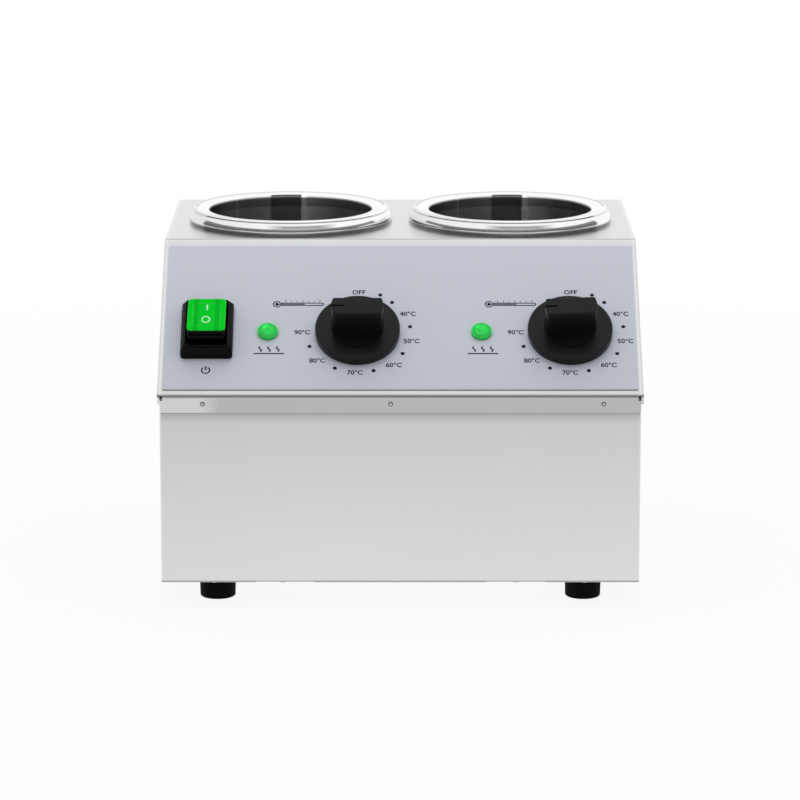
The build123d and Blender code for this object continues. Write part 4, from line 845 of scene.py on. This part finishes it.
inkShapes = []
for printX in scaleMarks["places"]:
    for angle in scaleMarks["dots"]:
        inkShapes.append(disc(*roundDial(printX, angle, scaleMarks["dotReach"]), scaleMarks["dot"]))
    inkShapes.append(disc(*roundDial(printX, *scaleMarks["firstDot"]), scaleMarks["dot"]))
    for text, angle, reach in scaleMarks["labels"]:
        textX, row = roundDial(printX, angle, reach)
        inkShapes.append(writing(text, textX, row - ink["lower"], ink["letter"]))
for left in warmth["places"]:
    # warmth: three waves over a short bar
    wave = np.linspace(0, 1, 25)
    for shift in warmth["waves"]:
        swing = left + shift + warmth["swing"] * np.sin(wave * 2 * math.pi)
        inkShapes.append(stroke(np.stack([swing, warmth["foot"] + warmth["rise"] * wave], -1)))
    inkShapes.append(stroke([(left + end * warmth["bar"], warmth["barRow"]) for end in (-1, 1)]))
for left in thermometer["places"]:
    # a lying thermometer with its degree marks
    row, half, bulb = thermometer["row"], thermometer["half"], left + thermometer["bulb"]
    start, end = thermometer["tube"]
    corners = [(start, -half), (end, -half), (end, half), (start, half)]
    tube = roundCorners(corners, [0, thermometer["end"], thermometer["end"], 0], 5) + (left, row)
    turn = np.radians(np.linspace(thermometer["neck"], 360 - thermometer["neck"], 31))
    ball = polar(thermometer["bulbRadius"], turn) + (bulb, row)
    inkShapes.append(stroke(np.concatenate([tube, ball]), thermometer["outline"], closed=True))
    inkShapes.append(disc(bulb, row, thermometer["drop"]))
    inkShapes.append(stroke([(bulb, row), (left + thermometer["column"], row)], thermometer["columnWidth"]))
    firstTick, pitch, count = thermometer["ticks"]
    foot, short, tall = thermometer["tickRows"]
    for step in range(count):
        tick = left + firstTick + pitch * step
        top = tall if step % 3 == 0 else short
        inkShapes.append(stroke([(tick, foot), (tick, top)], thermometer["tickWidth"]))
middle = (powerSign["x"], powerSign["row"])
bow = np.radians(np.linspace(*powerSign["opening"], 33))
inkShapes.append(stroke(polar(powerSign["radius"], bow) + middle))
inkShapes.append(stroke([middle, (powerSign["x"], powerSign["stem"])]))
inkHeight = ink["height"] + ink["thick"] / 2
addInk(
    "panel", inkShapes, printInk, "warmer", lambda points: onPanel(points + (0, 0, inkHeight))
)
print("print made")

# The power switch: frame and cap levels are a width, a length, a corner radius and a height

switch = {
    "x": -121.5, "tilt": 9.0, "pivot": 6.0, "cap": (24.0, 30.2), "capRound": 2.6, "capEdge": 0.8,
    "capFoot": 0.2, "capLow": 8.5, "capTop": 9.8, "capShift": 1.1, "recess": (17.5, 21.5),
    "recessRound": 2.0, "recessDepth": 0.5, "pin": 1.56, "pinHalf": 14.3,
    "bands": (0.0066, 0.0011, 0.0006, 0.5),
    "frame": [
        (32.3, 43.4, 2.2, 0.5), (32.7, 43.8, 2.4, 0.8), (32.7, 43.8, 2.4, 4.05), (32.4, 43.5, 2.4, 4.4),
        (29.2, 40.3, 2.3, 7.8), (28.3, 39.0, 2.3, 8.1), (27.6, 38.2, 2.2, 8.35), (27.6, 38.2, 2.2, 9.9),
        (27.3, 37.9, 2.1, 10.14), (26.9, 37.5, 2.0, 10.2), (25.9, 36.5, 1.6, 10.2), (25.5, 36.1, 1.4, 10.12),
        (25.2, 35.8, 1.3, 9.8), (25.2, 35.8, 1.3, 0.5), (32.3, 43.4, 2.2, 0.5),
    ],
    # the black carrier steps in twice below the cap
    "carrier": [
        (22, 19, 1, -3.0), (23, 20, 1, -3.0), (23, 31.0, 1.6, 2.6), (23, 31.2, 1.8, 3.2),
        (23, 31.2, 1.8, 5.4), (22.8, 31.0, 1.8, 5.7), (21.6, 29.6, 2.0, 5.9), (21.6, 29.6, 2.0, 6.5),
        (23.2, 30.2, 2.4, 6.9), (23.4, 30.4, 2.4, 7.2), (23.4, 30.4, 2.4, 8.3), (23.0, 30.0, 2.4, 8.6),
        (18.0, 22.0, 2.4, 8.6),
    ],
    "stroke": ((0.2, 5.2), (0.2, 10.4)), "strokeWidth": 0.95, "oval": ((-0.3, -3.9), (2.3, 2.9)),
}


def litPlastic(name, colour, glow, **changes):
    # tinted clear plastic lit from behind: brighter in the facets of a cell pattern, paler along its edges
    # with a painted highlight, and dimmed with painted shade on the part of its wall that stands close to the
    # panel
    # its worn-edge colour, a pale green, is a painted highlight along the edges
    material = makeFinish(
        name, colour=colour, specular=glow["specular"], grainScale=1500, grainTone=0.06, broadTone=0.1,
        patchTone=0.05, wear=0.5 * glow["edge"], wearColour=(0.3, 0.9, 0.45), dust=0.01, **changes,
    )
    tree = material.node_tree
    shader = tree.nodes["Principled BSDF"]
    place = addNode("TexCoord", tree=tree)
    links = [("Vector", place.outputs["Object"]), ("Scale", glow["cells"])]
    cells = addNode("TexVoronoi", links).outputs[0]
    above = onVectors("DOT_PRODUCT", place.outputs["Object"], tuple(panelOut))
    above = blend("SUBTRACT", above, float(panelFoot @ panelOut) * millimetre)
    dim = times(
        remap(cells, 0.0, 0.9, 1 + glow["spread"], 1 - glow["spread"]),
        remap(above, *glow["low"], 0.18, 1.0), glow["pattern"](place),
    )
    shone = shaded(opaque(glow["colour"]), dim)
    # a pale painted highlight glows along the edges
    shone = mixColour(edgeMask(tree, glow["rim"], glow["edge"]), shone, opaque((0.32, 0.95, 0.42)))
    tree.links.new(shone, shader.inputs["Emission Color"])
    shader.inputs["Emission Strength"].default_value = glow["strength"]
    return material


def capPattern(place):
    # two dim upright bands in the recess, either side of the signs
    away = distant(apart(place)[0], switch["x"] * millimetre)
    return nearTo(away, *switch["bands"])


capGreen = litPlastic(
    "capGreen", (0.0, 0.3, 0.015),
    {"colour": (0.0, 0.62, 0.012), "strength": 0.45, "cells": 350, "spread": 0.1, "specular": 0.02,
     "rim": 0.0005, "edge": 0.75, "low": (0.002, 0.006), "pattern": capPattern},
    roughness=0.35,
)
symbolInk = makeFinish(
    "symbolInk", colour=(0.62, 0.95, 0.66), grainScale=2500, wear=0.05, wearColour=(0.4, 0.7, 0.45),
    wearRadius=0.0001, dust=0.01,
)


def onRocker(points):
    return onPanel(points, switch["x"], controlRow, tilt=math.radians(switch["tilt"]), lift=switch["pivot"])


def capLevels():
    # out along the underside, up the wall, over the rounded edge, down into the recess
    wide, long = switch["cap"]
    low, top, corner, edge = (switch[key] for key in ("capLow", "capTop", "capRound", "capEdge"))
    insets = [(switch["capFoot"], low), (0.0, low + switch["capFoot"]), (0.0, top - edge)]
    for step in np.linspace(0, math.pi / 2, 6)[1:]:
        insets.append((edge * (1 - math.cos(step)), top - edge * (1 - math.sin(step))))
    levels = [(wide - 2 * inset, long - 2 * inset, corner - inset, height) for inset, height in insets]
    wide, long = switch["recess"]
    floor = top - switch["recessDepth"]
    steps = [(0.8, top), (0.3, top - 0.1), (-0.3, floor + 0.05), (-0.8, floor)]
    return levels + [(wide + grow, long + grow, switch["recessRound"], height) for grow, height in steps]


switchFrame = addPiece(
    "switchFrame", [gridMesh(onPanel(rectangles(switch["frame"], capped=False), switch["x"], controlRow))],
    switchPlastic, "warmer", "switch_frame",
)
# the pin's bore is sunk into both walls of the frame
pinTurn = np.linspace(0, 2 * math.pi, 33)
pinEnds = np.array([1, 1, -1, -1])[:, None] * switch["pinHalf"] + 0 * pinTurn
pinReach = np.array([0, 1, 1, 0])[:, None] * switch["pin"]
pinRow, pinOut = pinReach * np.cos(pinTurn), switch["pivot"] + pinReach * np.sin(pinTurn)
carve(switchFrame, onPanel(np.stack([pinEnds, pinRow, pinOut], -1), switch["x"], controlRow))
addPiece(
    "rockerCarrier", [gridMesh(onRocker(rectangles(switch["carrier"])))], switchPlastic, "power_rocker",
    "rocker_carrier",
)
capGrid = rectangles(capLevels()) + (0, switch["capShift"], 0)
addPiece("rockerCap", [gridMesh(onRocker(capGrid))], capGreen, "power_rocker", "rocker_cap")
ovalMiddle, ovalReach = switch["oval"]
oval = polar(1.0, np.linspace(0, 2 * math.pi, 33)[:-1]) * ovalReach + ovalMiddle
signs = [stroke(switch["stroke"], switch["strokeWidth"]), stroke(oval, closed=True)]
signHeight = switch["capTop"] - switch["recessDepth"] + ink["thick"]
addInk(
    "rocker", signs, symbolInk, "power_rocker",
    lambda points: onRocker(points + (0, 0, signHeight)),
)
print("switch made")

# Lamps

lens = {
    "places": {"left": -83.4, "right": 51.1}, "radius": 6.5, "foot": 0.5, "footBend": 0.1, "rim": 2.5,
    "rimRound": 0.55, "face": 5.7, "faceRise": 0.2, "domeReach": 6.0, "domeRise": 0.56, "facet": 0.16,
    "pitch": 2.7, "dimRing": (0.0050, 0.0004, 0.0007, 0.4), "side": (-0.004, 0.005, 0.62, 1.15),
    "spotPlace": (-0.0022, 0.0028, 0), "spot": (0.0004, 0.0022, 1.7, 1.0),
}


def lensPattern(place):
    # painted light and shade: a dim ring of painted shade inside the rim, deeper at its lower side, and a
    # bright spot of painted highlight up and to the left
    x = apart(place)[0]
    left, right = (lens["places"][side] * millimetre for side in ("left", "right"))
    middle = blend("MULTIPLY_ADD", blend("GREATER_THAN", x), right - left, left)
    up = blend("SUBTRACT", upSlope(place), controlRow * millimetre)
    flat = addNode("CombineXYZ", [(0, blend("SUBTRACT", x, middle)), (1, up)]).outputs[0]
    spot = onVectors("DISTANCE", flat, lens["spotPlace"])
    return times(
        nearTo(onVectors("LENGTH", flat), *lens["dimRing"]), remap(up, *lens["side"]),
        remap(spot, *lens["spot"]),
    )


lensGreen = litPlastic(
    "lensGreen", (0.0, 0.35, 0.04),
    {"colour": (0.0, 0.72, 0.07), "strength": 0.55, "cells": 620, "spread": 0.5, "specular": 0.4,
     "rim": 0.0003, "edge": 0.2, "low": (0.0016, 0.0029), "pattern": lensPattern},
    roughness=0.14,
)


def lensGrid():
    # a low dome inside a rounded rim; two crossed waves lift small facets that fade out towards the rim
    faceFoot, radius, foot = lens["rim"] + lens["faceRise"], lens["radius"], lens["foot"]
    reach = np.linspace(lens["face"], 0, 30)
    height = faceFoot + lens["domeRise"] * np.sqrt(1 - (reach / lens["domeReach"]) ** 2)
    rimTop, inside = lens["rim"] + lens["rimRound"], lens["face"] + 0.05
    rim = [(0, foot), (radius, foot), (radius, rimTop), (inside, faceFoot)]
    rim = roundCorners(rim, [0, lens["footBend"], lens["rimRound"], 0], 6)
    grid = revolve(np.concatenate([rim, np.stack([reach, height], -1)]), 96)
    away = np.hypot(grid[..., 0], grid[..., 1])
    fade = np.clip(lens["face"] - away, 0, 1) * (grid[..., 2] > lens["rim"])
    waves = np.abs(np.sin(grid[..., 0] * lens["pitch"])) * np.abs(np.sin(grid[..., 1] * lens["pitch"]))
    grid[..., 2] += lens["facet"] * fade * waves
    return grid


for side, lampX in lens["places"].items():
    grid = onPanel(lensGrid(), lampX, controlRow)
    addPiece(side + "Lens", [gridMesh(grid)], lensGreen, "warmer", side + "_lamp_lens", 25)
print("lamps made")

# Rivets

rivet = {
    "places": (-123.0, -6.0, 126.5), "height": 131.1, "front": -142.45, "rear": 124.65, "radius": 1.5,
    "head": 0.68, "shank": 1.0, "reach": 3.4, "rim": (0.0007, 0.00095, 1.2, 0.22),
}


def rivetShade(place):
    # painted light and shade: a dark rim of painted shade round a painted highlight in the middle, by the
    # distance from the nearest rivet's own axis
    flat = onVectors("MULTIPLY", place.outputs["Object"], (1, 0, 1))
    near = 1.0
    for rivetX in rivet["places"]:
        middle = (rivetX * millimetre, 0, rivet["height"] * millimetre)
        near = blend("MINIMUM", onVectors("DISTANCE", flat, middle), near)
    return remap(near, *rivet["rim"])


def rivetGrid():
    # shank, flange and dome, with the hollow that the pulled pin leaves and the pin's broken end in it
    shank, low, radius, head = rivet["shank"], -rivet["reach"], rivet["radius"], rivet["head"]
    profile = roundCorners(
        [(0, low), (shank, low), (shank, 0), (radius, 0), (radius, 0.2), (1.0, head), (0.6, head),
         (0.52, 0.3), (0.35, 0.42), (0, 0.45)],
        [0, 0.1, 0, 0.05, 0.15, 0.25, 0.05, 0.05, 0.05, 0], 4,
    )
    return revolve(profile, 32)


rivetSteel = makeFinish("rivetSteel", **{**fastener, "wear": 0.06}, roughness=0.35, shade=rivetShade)
rivetMeshes = []
for rivetX in rivet["places"]:
    x, y, z = np.moveaxis(rivetGrid(), -1, 0)
    rivetMeshes.append(gridMesh(np.stack([rivetX + x, rivet["front"] - z, rivet["height"] + y], -1)))
    rivetMeshes.append(gridMesh(np.stack([rivetX - x, rivet["rear"] + z, rivet["height"] + y], -1)))
addPiece("rivets", rivetMeshes, rivetSteel, "warmer", "hood_rivets")
print("rivets made")

# Stage, light and camera, in metres

stage = {
    "floorReach": 14.0, "shadowShare": 0.1, "shadowReach": (0.35, 1.1), "paper": 0.9, "ambient": 0.62,
    "aim": (0, 0, 0.12),
    "overhead": {"power": 9.0, "size": (1.9, 1.5), "place": (0.0, 0.05, 1.5)},
    "front": {"power": 5.0, "size": (2.6, 1.6), "place": (0.0, -2.6, 1.9)},
    "cardHalf": 1.4, "cardHeight": 0.002, "cardRows": (-0.62, -1.15, -2.3), "curve": (3.3, 115, 61),
    "curveHeights": (0.02, 1.5),
    "shades": {"floorCard": (1.0, 0.55), "farCard": (0.55, 0.6), "curvedCard": (0.08, 0.3)},
}
view = {
    "place": (-0.0002, -2.49055, 0.6247), "pitch": 11.81, "lens": 173.71, "sensor": 36.0,
    "clip": (0.05, 60.0),
}


def cameraMask(tree):
    # one where the ray is seen straight, in a mirror or through glass
    path = addNode("LightPath", tree=tree)
    seen = blend("MAXIMUM", path.outputs["Is Camera Ray"], path.outputs["Is Glossy Ray"])
    return blend("MAXIMUM", seen, path.outputs["Is Transmission Ray"])


def bareMaterial(name):
    material = bpy.data.materials.new(name)
    material.use_nodes = True
    material.node_tree.nodes.clear()
    return material, material.node_tree


def buildFloor():
    # the floor looks white where it is seen and keeps a share of its shadow near the object
    mesh = bpy.data.meshes.new("floor")
    corners = np.array([(-1, -1, 0), (1, -1, 0), (1, 1, 0), (-1, 1, 0)]) * stage["floorReach"]
    mesh.from_pydata(corners, [], [(0, 1, 2, 3)])
    material, tree = bareMaterial("floorPaper")
    place = addNode("TexCoord", tree=tree)
    distance = onVectors("LENGTH", place.outputs["Object"])
    near = remap(distance, *stage["shadowReach"], stage["shadowShare"], 0.0)
    paper = addNode("BsdfDiffuse", [("Color", opaque(stage["paper"]))], tree).outputs[0]
    white = addNode("Emission", [("Color", opaque(1)), ("Strength", 1.0)], tree).outputs[0]
    share = addNode("MixShader", enumerate((near, white, paper))).outputs[0]
    whole = addNode("MixShader", enumerate((cameraMask(tree), paper, share))).outputs[0]
    addNode("OutputMaterial", [(0, whole)])
    mesh.materials.append(material)
    addObject("floor", mesh)


def buildWorld():
    world = bpy.data.worlds.new("studio")
    bpy.context.scene.world = world
    world.use_nodes = True
    tree = world.node_tree
    strength = blend("MULTIPLY_ADD", cameraMask(tree), 1.0 - stage["ambient"], stage["ambient"])
    tree.links.new(strength, tree.nodes["Background"].inputs["Strength"])
    tree.nodes["Background"].inputs["Color"].default_value = opaque(1)


def addSoftbox(name):
    values = stage[name]
    lamp = bpy.data.lights.new(name, "AREA")
    lamp.shape = "RECTANGLE"
    lamp.energy, (lamp.size, lamp.size_y) = values["power"], values["size"]
    holder = addObject(name, lamp)
    holder.location = values["place"]
    holder.rotation_euler = (Vector(stage["aim"]) - holder.location).to_track_quat("-Z", "Y").to_euler()
    holder.visible_camera = holder.visible_glossy = False


def addCard(name, lower, upper):
    # a grey card that only mirrors see: its shade runs from its lower edge to its upper edge
    points, faces, uv = gridMesh(np.array([lower, upper], float))
    mesh = bpy.data.meshes.new(name)
    mesh.from_pydata(points, [], faces)
    layer = mesh.uv_layers.new(name="surface")
    layer.data.foreach_set("uv", (uv / uv.max(0))[faces.ravel()].ravel())
    material, tree = bareMaterial(name)
    place = addNode("TexCoord", tree=tree)
    height = addNode("SeparateXYZ", [(0, place.outputs["UV"])]).outputs[1]
    shade = remap(height, 0.0, 1.0, *stage["shades"][name])
    glow = addNode("Emission", [("Strength", shade)]).outputs[0]
    addNode("OutputMaterial", [(0, glow)])
    mesh.materials.append(material)
    card = addObject(name, mesh)
    card.visible_camera = card.visible_diffuse = card.visible_shadow = card.visible_transmission = False


buildFloor()
buildWorld()
for name in ("overhead", "front"):
    addSoftbox(name)
rows = [[(end * stage["cardHalf"], row, stage["cardHeight"]) for end in (-1, 1)] for row in stage["cardRows"]]
addCard("floorCard", rows[0], rows[1])
addCard("farCard", rows[1], rows[2])
cardRadius, cardTurn, cardPoints = stage["curve"]
sweep = np.radians(np.linspace(-cardTurn, cardTurn, cardPoints))
curve = np.stack([cardRadius * np.sin(sweep), -cardRadius * np.cos(sweep), 0 * sweep], -1)
addCard("curvedCard", *(curve + (0, 0, height) for height in stage["curveHeights"]))

cameraData = bpy.data.cameras.new("camera")
cameraData.sensor_width, cameraData.lens = view["sensor"], view["lens"]
cameraData.clip_start, cameraData.clip_end = view["clip"]
camera = addObject("camera", cameraData)
camera.location = view["place"]
camera.rotation_euler = (math.radians(90 - view["pitch"]), 0, 0)
bpy.context.scene.camera = camera
bpy.context.scene.view_settings.view_transform = "Standard"
print("stage ready")
